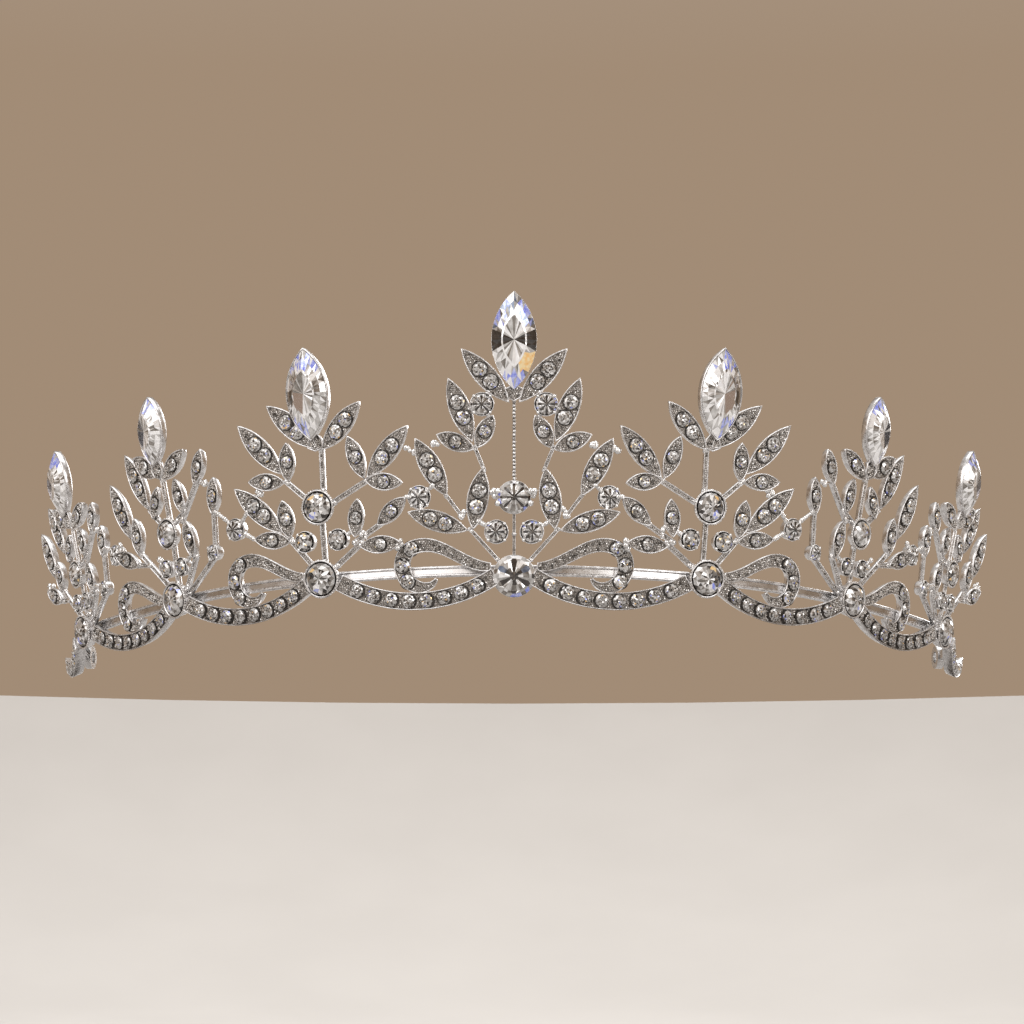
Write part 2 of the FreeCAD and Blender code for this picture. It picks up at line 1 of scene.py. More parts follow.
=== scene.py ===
"""Looks of the bridal tiara: pavé leaves, scallops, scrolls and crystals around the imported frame.

Every piece is built from its own CAD node: the node's solids give its place, its
outline and its heights, and the detail is made here. Local sizes are in millimetres.
A local frame has three rows: across (level), up (along the surface) and proud (outwards).
"""
import math
import bpy
import numpy as np
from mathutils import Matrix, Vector
from mathutils.geometry import tessellate_polygon

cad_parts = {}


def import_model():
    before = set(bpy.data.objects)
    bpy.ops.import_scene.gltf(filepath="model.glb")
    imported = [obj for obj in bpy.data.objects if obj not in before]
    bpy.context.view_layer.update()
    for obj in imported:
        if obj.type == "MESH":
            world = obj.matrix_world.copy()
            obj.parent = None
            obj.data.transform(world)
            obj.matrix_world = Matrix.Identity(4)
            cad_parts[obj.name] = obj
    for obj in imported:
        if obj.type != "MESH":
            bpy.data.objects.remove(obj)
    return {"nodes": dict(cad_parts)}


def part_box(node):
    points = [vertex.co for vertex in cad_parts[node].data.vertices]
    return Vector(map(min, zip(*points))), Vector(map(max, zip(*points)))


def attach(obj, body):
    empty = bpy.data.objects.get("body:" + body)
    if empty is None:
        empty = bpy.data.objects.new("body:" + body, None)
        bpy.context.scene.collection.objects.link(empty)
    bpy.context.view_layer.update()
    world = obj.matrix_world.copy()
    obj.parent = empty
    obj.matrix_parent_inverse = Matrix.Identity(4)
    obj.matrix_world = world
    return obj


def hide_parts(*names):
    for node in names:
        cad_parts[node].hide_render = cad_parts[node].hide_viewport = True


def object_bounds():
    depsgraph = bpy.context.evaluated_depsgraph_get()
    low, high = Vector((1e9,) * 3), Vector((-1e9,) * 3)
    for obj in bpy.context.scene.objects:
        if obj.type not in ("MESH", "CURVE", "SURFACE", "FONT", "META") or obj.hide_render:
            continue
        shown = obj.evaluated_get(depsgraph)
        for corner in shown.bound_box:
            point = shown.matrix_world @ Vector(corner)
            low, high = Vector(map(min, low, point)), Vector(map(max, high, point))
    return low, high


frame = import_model()
CAD_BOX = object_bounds()
MM = 0.001
NODES = frame["nodes"]
RNG = np.random.default_rng(7)

# ---------------------------------------------------------------- sizes, millimetres

RIM = 0.26              # width of the raised rim of a leaf
BAND_RIM = 0.24         # and of a scallop or a scroll
FLOOR_DROP = 0.27       # how far the grain bed lies under the rim
GRAIN = 0.35            # spacing of the grain beads
GRAIN_RADIUS = 0.18
GRAIN_SIDES = 5
STONE_GAP = 0.13        # groove round a stone, painted near-black as shade
CHIP_CROWN = 0.36       # height of a pavé stone over its girdle
SEAT_SIDES = 28
WALL_TAPER = 0.4        # how far a plate's wall draws in towards its back
THROAT_WIDTH = 1.5      # half the width of the wedge under a marquise
THROAT_DROP = 0.62      # how far its face lies behind the marquise's setting
BAR_WIDTH = 0.9         # width of a stem
FINE_BAR = 0.6          # and on the front motif
BAR_BACK = -0.45
BAR_FRONT = 0.42
BAR_DROP = 0.16         # depth of the groove along a stem
CHAIN_BEAD = 0.3        # radius of the beads of the centre stem
CHAIN_PITCH = 0.52
CHAIN_WIRE = 0.2        # radius of the wire in it
CHAIN_REACH = 1.0       # how far the centre stem runs on, up to the marquise
BLOB_RADIUS = 0.75      # solder where leaves meet
LINK_REACH = 3.2        # the longest gap that solder closes
LINK_PITCH = 0.36
MILL_PITCH = 0.42       # spacing of the beads round a bezel
CUP_SIDES = 40
CUP_WALL = 0.26         # a bezel's wall
FINE_WALL = 0.12        # and on the front motif
SMALL_WALL = 0.16       # and on a small round
WIRE_RADIUS = 0.24      # wires along the headband's edges
WIRE_INSET = 0.14       # how far they lie in from its edges
WIRE_PROUD = 0.02
WIRE_SIDES = 8
BALL_WIDTH = 1.0        # rods are thinner than this, balls of solder thicker
SHORT_STEM = 1.5        # reach of a stem up to which its box gives its middle
MOTIF_REACH = 10        # a small round nearer than this to a motif's middle is on it
INSIDE_Y = 10.0         # a point inside the curve, which no surface faces
WELD = 0.01             # points nearer than about this are one
CORNER = 35             # degrees: an outline that turns by more has a corner

# ---------------------------------------------------------------- materials


def shader_material(name, colour, metallic, roughness, **sockets):
    """A Principled material; the numbers that don't vary sit on its own sockets."""
    material = bpy.data.materials.new(name)
    material.use_nodes = True
    shader = material.node_tree.nodes["Principled BSDF"]
    shader.inputs["Base Color"].default_value = (*colour, 1)
    shader.inputs["Metallic"].default_value = metallic
    shader.inputs["Roughness"].default_value = roughness
    for socket, value in sockets.items():
        shader.inputs[socket.replace("_", " ")].default_value = value
    return material


def vary(material, scale, dark, light, rough=None, bump=0.0):
    """Noise in the colour, and if asked in the roughness and the surface."""
    tree = material.node_tree
    shader = tree.nodes["Principled BSDF"]
    place = tree.nodes.new("ShaderNodeTexCoord")
    noise = tree.nodes.new("ShaderNodeTexNoise")
    noise.inputs["Scale"].default_value = scale
    noise.inputs["Detail"].default_value = 3
    ramp = tree.nodes.new("ShaderNodeValToRGB")
    ramp.color_ramp.elements[0].position = 0.35
    ramp.color_ramp.elements[1].position = 0.65
    ramp.color_ramp.elements[0].color = (*dark, 1)
    ramp.color_ramp.elements[1].color = (*light, 1)
    tree.links.new(place.outputs["Object"], noise.inputs["Vector"])
    tree.links.new(noise.outputs["Fac"], ramp.inputs["Fac"])
    tree.links.new(ramp.outputs["Color"], shader.inputs["Base Color"])
    if rough:
        spread = tree.nodes.new("ShaderNodeMapRange")
        spread.inputs["To Min"].default_value = rough[0]
        spread.inputs["To Max"].default_value = rough[1]
        tree.links.new(noise.outputs["Fac"], spread.inputs["Value"])
        tree.links.new(spread.outputs["Result"], shader.inputs["Roughness"])
    if bump:
        relief = tree.nodes.new("ShaderNodeBump")
        relief.inputs["Strength"].default_value = bump
        relief.inputs["Distance"].default_value = 0.00005
        tree.links.new(noise.outputs["Fac"], relief.inputs["Height"])
        tree.links.new(relief.outputs["Normal"], shader.inputs["Normal"])
    return material


def window_material():
    """Clear glass of a thin facet: see-through, with a glossy face."""
    material = bpy.data.materials.new("crystal_window")
    material.use_nodes = True
    tree = material.node_tree
    shader = tree.nodes["Principled BSDF"]
    shader.inputs["Base Color"].default_value = (0.9, 0.9, 0.92, 1)
    shader.inputs["Roughness"].default_value = 0.03
    clear = tree.nodes.new("ShaderNodeBsdfTransparent")
    clear.inputs["Color"].default_value = (0.86, 0.84, 0.86, 1)
    mix = tree.nodes.new("ShaderNodeMixShader")
    fresnel = tree.nodes.new("ShaderNodeFresnel")
    fresnel.inputs["IOR"].default_value = 1.6
    tree.links.new(fresnel.outputs["Fac"], mix.inputs["Fac"])
    tree.links.new(clear.outputs["BSDF"], mix.inputs[1])
    tree.links.new(shader.outputs["BSDF"], mix.inputs[2])
    tree.links.new(mix.outputs["Shader"], tree.nodes["Material Output"].inputs["Surface"])
    return material


def plating(name, colour, roughness, scale, dark, light, rough=None, bump=0.0, metallic=1.0):
    return vary(shader_material(name, colour, metallic, roughness), scale, dark, light, rough, bump)


def crystal(name, colour, metallic, roughness, dark, light, scale=1200):
    """A facet's look: a tint under a clear polished coat; the tint is a painted highlight,
    reflection or glint.
    """
    material = shader_material(name, colour, metallic, roughness,
                               Coat_Weight=1.0, Coat_Roughness=0.02)
    return vary(material, scale, dark, light)


FINISHES = {
    "plate": plating("rhodium_plate", (0.74, 0.73, 0.73), 0.2, 1300,
                     (0.54, 0.525, 0.52), (0.86, 0.855, 0.86), (0.16, 0.4), 0.35),
    "band": plating("rhodium_band", (0.74, 0.73, 0.73), 0.25, 500,
                    (0.52, 0.51, 0.505), (0.64, 0.63, 0.625), (0.2, 0.34), 0.1),
    "back": plating("rhodium_cast_back", (0.5, 0.485, 0.475), 0.4, 1500,
                    (0.36, 0.35, 0.34), (0.58, 0.57, 0.56), (0.3, 0.5), 0.6),
    "grain": plating("grain_bright", (0.78, 0.77, 0.76), 0.25, 2500,
                     (0.54, 0.515, 0.49), (0.9, 0.88, 0.86), (0.15, 0.4), metallic=0.85),
    "grain_mid": plating("grain_mid", (0.4, 0.385, 0.37), 0.3, 2500,
                         (0.28, 0.265, 0.25), (0.52, 0.5, 0.48), metallic=0.85),
    "grain_dark": plating("grain_dark", (0.12, 0.11, 0.1), 0.35, 2500,
                          (0.07, 0.062, 0.055), (0.2, 0.185, 0.17), metallic=0.7),
    # The grain bed, darker than the plating: painted shade between the grains.
    "bed": plating("bed_painted_shade", (0.3, 0.28, 0.26), 0.5, 3000,
                   (0.17, 0.152, 0.135), (0.46, 0.43, 0.40), metallic=0.8),
    # Near-black finish of the grooves and wells round the stones: painted shade.
    "seat": plating("painted_shade_seat", (0.03, 0.027, 0.025), 0.5, 3000,
                    (0.012, 0.01, 0.009), (0.055, 0.046, 0.04), metallic=0.3),
    "solder": plating("bright_solder", (0.88, 0.88, 0.88), 0.18, 2000,
                      (0.72, 0.71, 0.70), (0.94, 0.94, 0.94), (0.1, 0.32), 0.6, metallic=0.95),
    # Facet tones of one clear crystal, all painted light: a painted highlight, painted mid, dim and
    # dark reflections, and a painted cool reflection.
    "highlight_facet": crystal("crystal_painted_highlight", (0.95, 0.95, 0.96), 0.3, 0.05,
                     (0.86, 0.86, 0.88), (1.0, 1.0, 1.0)),
    "clear": crystal("crystal_painted_mid_reflection", (0.58, 0.57, 0.56), 0.5, 0.05,
                     (0.44, 0.43, 0.415), (0.72, 0.715, 0.71)),
    "dim_reflection_facet": crystal("crystal_painted_dim_reflection", (0.24, 0.22, 0.205), 0.6, 0.06,
                     (0.16, 0.145, 0.13), (0.34, 0.315, 0.29)),
    "dark_reflection_facet": crystal("crystal_painted_dark_reflection", (0.04, 0.035, 0.032), 0.4, 0.08,
                     (0.025, 0.021, 0.019), (0.07, 0.06, 0.055)),
    "cool_reflection_facet": crystal("crystal_painted_cool_reflection", (0.15, 0.18, 0.24), 0.5, 0.06,
                     (0.1, 0.13, 0.2), (0.3, 0.35, 0.45)),
    # Painted coloured glints, standing in for the crystals' fire.
    "azure_glint_facet": crystal("crystal_painted_azure_glint", (0.3, 0.36, 0.95), 0.35, 0.05,
                    (0.22, 0.27, 0.92), (0.6, 0.66, 1.0), 1800),
    "amber_glint_facet": crystal("crystal_painted_amber_glint", (1.0, 0.7, 0.3), 0.35, 0.05,
                    (1.0, 0.58, 0.2), (1.0, 0.84, 0.5), 1800),
    "window": window_material(),
}
FINISH_NAMES = list(FINISHES)


# ---------------------------------------------------------------- reading the frame

def same_place(points):
    """For each point the lowest index of the points at its place, by three uneven grids."""
    label = np.arange(len(points))
    for _ in range(2):
        for offset in (0.137, 0.471, 0.803):
            cells = np.floor(points / WELD + offset).astype(int)
            _, cell = np.unique(cells, axis=0, return_inverse=True)
            cell = cell.ravel()
            lowest = np.full(cell.max() + 1, len(points))
            np.minimum.at(lowest, cell, label)
            label = lowest[cell]
    return label


def welded(node):
    """Points in millimetres and triangles of a CAD node, with equal points joined."""
    mesh = NODES[node].data
    points = np.zeros(len(mesh.vertices) * 3)
    mesh.vertices.foreach_get("co", points)
    points = points.reshape(-1, 3) / MM
    mesh.calc_loop_triangles()
    corners = np.zeros(len(mesh.loop_triangles) * 3, int)
    mesh.loop_triangles.foreach_get("vertices", corners)
    kept, joined = np.unique(same_place(points), return_inverse=True)
    return points[kept], joined.ravel()[corners].reshape(-1, 3)


def solids(node):
    """The separate solids of a CAD node: a list of (points, triangles)."""
    points, triangles = welded(node)
    label = np.arange(len(points))
    while True:
        lowest = label[triangles].min(axis=1)
        new = label.copy()
        np.minimum.at(new, triangles.ravel(), np.repeat(lowest, 3))
        new = new[new]
        if (new == label).all():
            break
        label = new
    found = []
    for root in np.unique(label[triangles[:, 0]]):
        mine = triangles[label[triangles[:, 0]] == root]
        used, index = np.unique(mine, return_inverse=True)
        found.append((points[used], index.ravel().reshape(-1, 3)))
    return found


def normals_of(points, triangles):
    """Unit normals and areas of triangles."""
    a, b, c = (points[triangles[:, i]] for i in range(3))
    cross = np.cross(b - a, c - a)
    length = np.maximum(np.linalg.norm(cross, axis=1), 1e-12)
    return cross / length[:, None], length / 2


def unit(vector):
    return vector / np.linalg.norm(vector)


def box_middle(points):
    return (points.min(0) + points.max(0)) / 2


def surface_axes(points, triangles):
    """Rows across, up and proud of a solid with flat faces: proud is their common normal."""
    normals, areas = normals_of(points, triangles)
    groups, member = np.unique(np.round(normals, 2), axis=0, return_inverse=True)
    widest = groups[np.argmax(np.bincount(member.ravel(), areas))]
    alike = normals @ unit(widest) > 0.9995
    proud = unit((normals[alike] * areas[alike, None]).sum(0))
    middle = box_middle(points)
    if proud @ (middle - np.array([0, INSIDE_Y, middle[2]])) < 0:
        proud = -proud
    across = unit(np.cross([0, 0, 1], proud))
    return np.array([across, np.cross(proud, across), proud])


class Spot:
    """A local frame: its origin, and its rows across, up and proud."""

    def __init__(self, origin, axes):
        self.origin, self.axes = np.asarray(origin, float), np.asarray(axes, float)

    def world(self, local):
        """Local points, in the shared frame."""
        return np.asarray(local) @ self.axes + self.origin

    def local(self, point):
        """Points of the shared frame, in this one."""
        return (np.asarray(point) - self.origin) @ self.axes.T


class Plate(Spot):
    """A flat CAD solid: its frame, its outline in that frame, and its heights."""

    def __init__(self, points, triangles, outlined=True):
        super().__init__(box_middle(points), surface_axes(points, triangles))
        local = self.local(points)
        self.back, self.front = local[:, 2].min(), local[:, 2].max()
        self.radius = np.hypot(local[:, 0], local[:, 1]).max()
        self.side = 1 if self.origin[0] > -0.01 else -1
        if outlined:
            low = local[triangles][:, :, 2].max(axis=1) < self.back + 0.02
            self.outline = outline_of(local[:, :2], triangles[low])


def outline_of(flat, triangles):
    """The longest closed loop of edges that only one of the triangles has, anticlockwise."""
    count = {}
    for a, b, c in triangles:
        for edge in ((a, b), (b, c), (c, a)):
            key = tuple(sorted(edge))
            count[key] = count.get(key, 0) + 1
    joined = {}
    for (a, b), times in count.items():
        if times == 1:
            joined.setdefault(a, []).append(b)
            joined.setdefault(b, []).append(a)
    loops, seen = [], set()
    for start in joined:
        if start in seen:
            continue
        loop, here, before = [start], joined[start][0], start
        seen.add(start)
        while here != start:
            seen.add(here)
            loop.append(here)
            following = [n for n in joined[here] if n != before]
            before, here = here, following[0] if following else start
        loops.append(flat[loop])
    longest = max(loops, key=lambda loop: np.ptp(loop, axis=0).sum())
    return longest if signed_area(longest) > 0 else longest[::-1]


def signed_area(loop):
    x, y = loop.T
    return 0.5 * np.sum(x * np.roll(y, -1) - y * np.roll(x, -1))


# ---------------------------------------------------------------- outlines

def smoothed(loop, step):
    """The loop with more points, on curves between its corners."""
    n = len(loop)
    leaving = np.roll(loop, -1, axis=0) - loop
    heading = np.degrees(np.arctan2(leaving[:, 1], leaving[:, 0]))
    turn = (heading - np.roll(heading, 1) + 180) % 360 - 180
    sharp = np.abs(turn) > CORNER
    points = []
    for i in range(n):
        a, b, c, d = (loop[(i + k) % n] for k in (-1, 0, 1, 2))
        if sharp[i]:
            a = 2 * b - c
        if sharp[(i + 1) % n]:
            d = 2 * c - b
        length = np.linalg.norm(c - b)
        if length < 1e-6:
            continue
        parts = max(1, int(round(length / step)))
        for t in np.arange(parts) / parts:
            before = (c - a) / 2 if not sharp[i] else c - b
            after = (d - b) / 2 if not sharp[(i + 1) % n] else c - b
            before = unit(before) * length
            after = unit(after) * length
            h = (2 * t**3 - 3 * t**2 + 1, t**3 - 2 * t**2 + t, 3 * t**2 - 2 * t**3, t**3 - t**2)
            points.append(h[0] * b + h[1] * before + h[2] * c + h[3] * after)
    return np.array(points)


def edge_distance(points, loop):
    """Distance from each point to the nearest edge of the loop."""
    a, b = loop, np.roll(loop, -1, axis=0)
    d = b - a
    length = np.maximum((d ** 2).sum(1), 1e-12)
    rel = points[:, None, :] - a[None]
    t = np.clip((rel * d[None]).sum(2) / length[None], 0, 1)
    return np.linalg.norm(rel - t[..., None] * d[None], axis=2).min(1)


def inside(points, loop):
    """Which points lie in the loop."""
    x, y = points[:, 0, None], points[:, 1, None]
    x1, y1 = loop[None, :, 0], loop[None, :, 1]
    x2, y2 = np.roll(x1, -1, axis=1), np.roll(y1, -1, axis=1)
    crosses = (y1 > y) != (y2 > y)
    at = (x2 - x1) * (y - y1) / np.where(y2 == y1, 1e-12, y2 - y1) + x1
    return (crosses & (x < at)).sum(1) % 2 == 1


def inset(loop, depth):
    """The loop moved inwards, less where it is too narrow."""
    before = loop - np.roll(loop, 1, axis=0)
    after = np.roll(loop, -1, axis=0) - loop
    n1 = np.stack([-before[:, 1], before[:, 0]], 1) / np.linalg.norm(before, axis=1)[:, None]
    n2 = np.stack([-after[:, 1], after[:, 0]], 1) / np.linalg.norm(after, axis=1)[:, None]
    miter = (n1 + n2) / np.maximum(1 + (n1 * n2).sum(1), 0.35)[:, None]
    moved, settled = loop.copy(), np.zeros(len(loop), bool)
    for share in (1, 0.85, 0.7, 0.55, 0.4, 0.25, 0.1):
        trial = loop + miter * depth * share
        good = (edge_distance(trial, loop) > depth * share * 0.93) & inside(trial, loop) & ~settled
        moved[good] = trial[good]
        settled |= good
    return moved


# ---------------------------------------------------------------- meshes

class Pile:
    """Faces of one piece, each with a finish."""

    def __init__(self):
        self.points, self.faces, self.finish, self.round = [], [], [], []
        self.total = 0

    def add(self, points, faces, finish, rounded=False):
        """Points in the shared frame; finish is one name, or one for each face."""
        points = np.asarray(points, float)
        names = [finish] * len(faces) if isinstance(finish, str) else list(finish)
        self.points.append(points)
        self.faces += [tuple(int(i) + self.total for i in face) for face in faces]
        self.finish += names
        self.round += [rounded] * len(faces)
        self.total += len(points)

    def build(self, name, slot, *nodes):
        """Makes the object, which rides on the one body and may stand for CAD nodes."""
        used = [finish for finish in FINISH_NAMES if finish in set(self.finish)]
        mesh = bpy.data.meshes.new(name)
        mesh.from_pydata((np.concatenate(self.points) * MM).tolist(), [], self.faces)
        for finish in used:
            mesh.materials.append(FINISHES[finish])
        index = {finish: i for i, finish in enumerate(used)}
        mesh.polygons.foreach_set("material_index", [index[f] for f in self.finish])
        mesh.polygons.foreach_set("use_smooth", self.round)
        mesh.update()
        made = bpy.data.objects.new(name, mesh)
        bpy.context.scene.collection.objects.link(made)
        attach(made, "root")
        if nodes:
            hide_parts(*nodes)


def bridge(pile, place, loops, finish, rounded=True):
    """Quads between successive loops of as many points."""
    n = len(loops[0])
    faces = []
    for step in range(len(loops) - 1):
        low, high = step * n, (step + 1) * n
        for i in range(n):
            j = (i + 1) % n
            faces.append((low + i, low + j, high + j, high + i))
    pile.add(place.world(np.concatenate(loops)), faces, finish, rounded)


def cap(pile, place, loop, finish, downwards=False):
    """Triangles that fill a flat loop."""
    triangles = tessellate_polygon([[Vector(p) for p in loop]])
    faces = []
    for a, b, c in triangles:
        u, v = loop[b][:2] - loop[a][:2], loop[c][:2] - loop[a][:2]
        up = u[0] * v[1] - u[1] * v[0] > 0
        faces.append((a, b, c) if up != downwards else (a, c, b))
    pile.add(place.world(loop), faces, finish)


def level(loop, height):
    """A flat loop at a height."""
    return np.column_stack([loop, np.full(len(loop), height)])


# Share of the rim's width, and height over the plate's front, of each loop of a rim.
RIM_PROFILE = ((0.0, -0.16), (0.12, -0.04), (0.4, 0.0), (0.7, -0.04), (0.9, -0.13))


def raised_rim(pile, place, loop, back, front, rim, drop):
    """Wall, rounded rim and bed of a plate. Returns the loop of its bed."""
    loops = [level(inset(loop, WALL_TAPER), back), level(inset(loop, 0.1), front - 0.7)]
    loops += [level(inset(loop, rim * share) if share else loop, front + rise)
              for share, rise in RIM_PROFILE]
    bed = inset(loop, rim)
    loops.append(level(bed, front - drop))
    bridge(pile, place, loops, "plate")
    cap(pile, place, level(bed, front - drop), "bed")
    cap(pile, place, loops[0], "back", downwards=True)
    return bed


# Share of the radius, and height, of each ring of a grain bead.
GRAIN_PROFILE = ((1.0, -0.05), (0.92, 0.12), (0.45, 0.24))
GRAIN_KINDS = ("grain", "grain_mid", "grain_dark")


def grain_spots(loop, keep_out):
    """Uneven rows of places in the loop, clear of the stones in keep_out: (x, y, radius)."""
    low, high = loop.min(0), loop.max(0)
    rows = np.arange(low[1], high[1], GRAIN * 0.87)
    columns = np.arange(low[0], high[0], GRAIN)
    x, y = np.meshgrid(columns, rows)
    x = x + (np.arange(len(rows)) % 2)[:, None] * GRAIN / 2
    spots = np.column_stack([x.ravel(), y.ravel()])
    spots += RNG.uniform(-0.22, 0.22, spots.shape) * GRAIN
    keep = inside(spots, loop) & (edge_distance(spots, loop) > GRAIN_RADIUS * 0.55)
    for cx, cy, r in keep_out:
        keep &= np.hypot(spots[:, 0] - cx, spots[:, 1] - cy) > r + GRAIN_RADIUS * 0.7
    return spots[keep]


def grains(pile, place, loop, height, keep_out):
    """Small faceted beads, each leaning its own way, over a bed."""
    spots = grain_spots(loop, keep_out)
    if not len(spots):
        return
    sides = GRAIN_SIDES
    turn = RNG.uniform(0, 2 * math.pi, len(spots))[:, None] + np.arange(sides) * 2 * math.pi / sides
    size = GRAIN_RADIUS * RNG.uniform(0.8, 1.15, len(spots))[:, None]
    lean = RNG.normal(0, 0.28, (len(spots), 2))
    rings = []
    for share, rise in GRAIN_PROFILE:
        px, py = size * share * np.cos(turn), size * share * np.sin(turn)
        tilt = lean[:, :1] * px + lean[:, 1:] * py if share < 1 else 0 * px
        rings.append(np.stack([spots[:, :1] + px, spots[:, 1:] + py, height + rise + tilt], 2))
    body = np.concatenate(rings, axis=1)
    template = [(i, (i + 1) % sides, sides + (i + 1) % sides, sides + i) for i in range(sides)]
    template += [(sides + a, sides + b, sides + c, sides + d) for a, b, c, d in template]
    template.append(tuple(range(2 * sides, 3 * sides)))
    faces = [tuple(k * 3 * sides + i for i in face) for k in range(len(spots)) for face in template]
    kinds = RNG.choice(GRAIN_KINDS, len(spots), p=(0.78, 0.15, 0.07))
    pile.add(place.world(body.reshape(-1, 3)), faces, np.repeat(kinds, len(template)))


def ring(centre, radius, height, count, turn=0.0, jitter=0.0):
    """Points of a circle, perhaps uneven in height."""
    angle = turn + np.arange(count) * 2 * math.pi / count
    heights = np.full(count, height) + (RNG.uniform(-jitter, jitter, count) if jitter else 0)
    return np.column_stack([centre[0] + radius * np.cos(angle), centre[1] + radius * np.sin(angle),
                            heights])


def painted_shade_seat(pile, place, centre, radius, low, high):
    """The groove in which a stone sits, painted near-black as shade."""
    loops = [ring(centre, radius, low, SEAT_SIDES), ring(centre, radius, high, SEAT_SIDES),
             ring(centre, radius - 0.2, high - 0.02, SEAT_SIDES)]
    bridge(pile, place, loops, "seat", rounded=False)
    pile.add(place.world(loops[2]), [tuple(range(SEAT_SIDES))], "seat")


# Facet tones, which paint a stone's light: highlight, mid, dim and dark reflections, and two
# coloured glints.
GLINTS = ("highlight_facet", "clear", "dim_reflection_facet", "dark_reflection_facet", "azure_glint_facet", "amber_glint_facet")


# Of each ring of a round stone: share of the radius and of the crown's height, turn as
# a share of half a facet, and how uneven it is.
CUT_PROFILE = ((1.0, -0.12, 0, 0), (1.0, 0.08, 0, 0), (0.84, 0.5, 1, 0.05),
               (0.62, 0.88, 0, 0.05), (0.34, 0.98, 1, 0.05))


def cut_stone(pile, place, centre, radius, height, crown, count, pick):
    """A round crystal whose facets narrow towards its table.

    pick(step, angle) names the painted tone of a facet, a highlight, reflection or glint; the angle
    is that of its middle.
    """
    turn = RNG.uniform(0, 2 * math.pi)
    half = math.pi / count
    rings = [ring(centre, radius * share, height + crown * rise, count, turn + shift * half, jitter)
             for share, rise, shift, jitter in CUT_PROFILE]
    points = np.concatenate(rings + [[[centre[0], centre[1], height + crown * 0.93]]])
    faces, names = [], []
    for step in range(len(rings) - 1):
        low, high = step * count, (step + 1) * count
        for i in range(count):
            j = (i + 1) % count
            if step == 0:
                shapes = [(low + i, low + j, high + j, high + i)]
            elif step % 2:
                shapes = [(low + i, low + j, high + i), (low + j, high + j, high + i)]
            else:
                shapes = [(low + i, low + j, high + j), (low + i, high + j, high + i)]
            faces += shapes
            # The girdle is painted as a dark reflection.
            names += ["dark_reflection_facet"] if step == 0 else [pick(step, turn + (i + 0.5) * 2 * half)
                                                  for _ in shapes]
    last = (len(rings) - 1) * count
    for i in range(count):
        faces.append((last + i, last + (i + 1) % count, len(rings) * count))
        names.append(pick(len(rings), turn + (i + 0.5) * 2 * half))
    pile.add(place.world(points), faces, names)


def chip_stone(pile, place, centre, radius, height, crown):
    """A small crystal: its painted glints and painted dark reflections differ facet by facet."""
    mix = (0.06, 0.47, 0.26, 0.18, 0.015, 0.015)
    cut_stone(pile, place, centre, radius, height, crown, 12,
              lambda step, angle: str(RNG.choice(GLINTS, p=mix)))


def brilliant_stone(pile, place, centre, radius, height, crown, side):
    """A large clear crystal: painted glints towards the front of the tiara, painted dark
    reflections and see-through windows on its other side.
    """
    def pick(step, angle):
        outward = math.cos(angle) * side
        if step in (2, 3, 4) and outward > 0.75:
            return str(RNG.choice(["dim_reflection_facet", "window", "dark_reflection_facet"], p=(0.5, 0.3, 0.2)))
        if step == 2 and 0.25 < outward < 0.6 and math.sin(angle) > 0:
            return "amber_glint_facet"
        if step in (2, 3) and 0.2 < outward < 0.75 and math.sin(angle) < 0:
            return str(RNG.choice(["azure_glint_facet", "highlight_facet"], p=(0.4, 0.6)))
        return str(RNG.choice(GLINTS, p=(0.16, 0.46, 0.24, 0.12, 0.01, 0.01)))
    cut_stone(pile, place, centre, radius, height, crown, 16, pick)


# Of each ring of a star stone: share of the radius, of the crown and of a petal's width.
STAR_PROFILE = ((1.0, -0.12, 1.0), (1.0, 0.0, 1.0), (0.84, 0.42, 0.45), (0.72, 0.6, 1.0),
                (0.44, 0.8, 1.0), (0.2, 0.92, 1.2))


def star_stone(pile, place, centre, radius, height, crown, petals=8, width=0.235):
    """A clear round crystal with a flower of petals painted as dark reflections under a low crown.

    width is half of a petal's breadth, as a share of the pitch.
    """
    parts = 4 * petals
    pitch = 2 * math.pi / petals
    rings = []
    for number, (share, rise, spread) in enumerate(STAR_PROFILE):
        stops = (np.array([-width * spread, width * spread, 0.38, 0.62]) * pitch)[None]
        angle = (math.pi / 2 + np.arange(petals)[:, None] * pitch + stops).ravel()
        wave = np.tile([-0.12, -0.12, 0.08, 0.08], petals) if number >= 3 else np.zeros(parts)
        wave = wave + (RNG.uniform(-0.03, 0.03, parts) if number >= 2 else 0)
        rings.append(np.column_stack([centre[0] + radius * share * np.cos(angle),
                                      centre[1] + radius * share * np.sin(angle),
                                      height + crown * (rise + wave)]))
    points = np.concatenate(rings + [[[centre[0], centre[1], height + crown * 0.9]]])
    faces, names = [], []
    for step in range(len(rings) - 1):
        low, high = step * parts, (step + 1) * parts
        for i in range(parts):
            j = (i + 1) % parts
            faces.append((low + i, low + j, high + j, high + i))
            # Facet tones are painted light: dark reflections in the petals and the hub, highlights
            # and reflections between them.
            if step == 0:
                names.append("dim_reflection_facet")
            elif i in (4, parts - 4) and petals == 6 and step in (2, 3):
                names.append("cool_reflection_facet")
            elif i % 4 == 0 and step >= 2:
                names.append(str(RNG.choice(["dark_reflection_facet", "dim_reflection_facet"], p=(0.8, 0.2))))
            elif step == 1:
                names.append(str(RNG.choice(GLINTS[:5], p=(0.16, 0.54, 0.18, 0.07, 0.05))))
            else:
                names.append(str(RNG.choice(GLINTS[:3], p=(0.26, 0.6, 0.14))))
    last = (len(rings) - 1) * parts
    for i in range(parts):
        faces.append((last + i, last + (i + 1) % parts, len(rings) * parts))
        names.append("dark_reflection_facet" if i % 3 else "dim_reflection_facet")
    pile.add(place.world(points), faces, names)


# ---------------------------------------------------------------- pavé plates

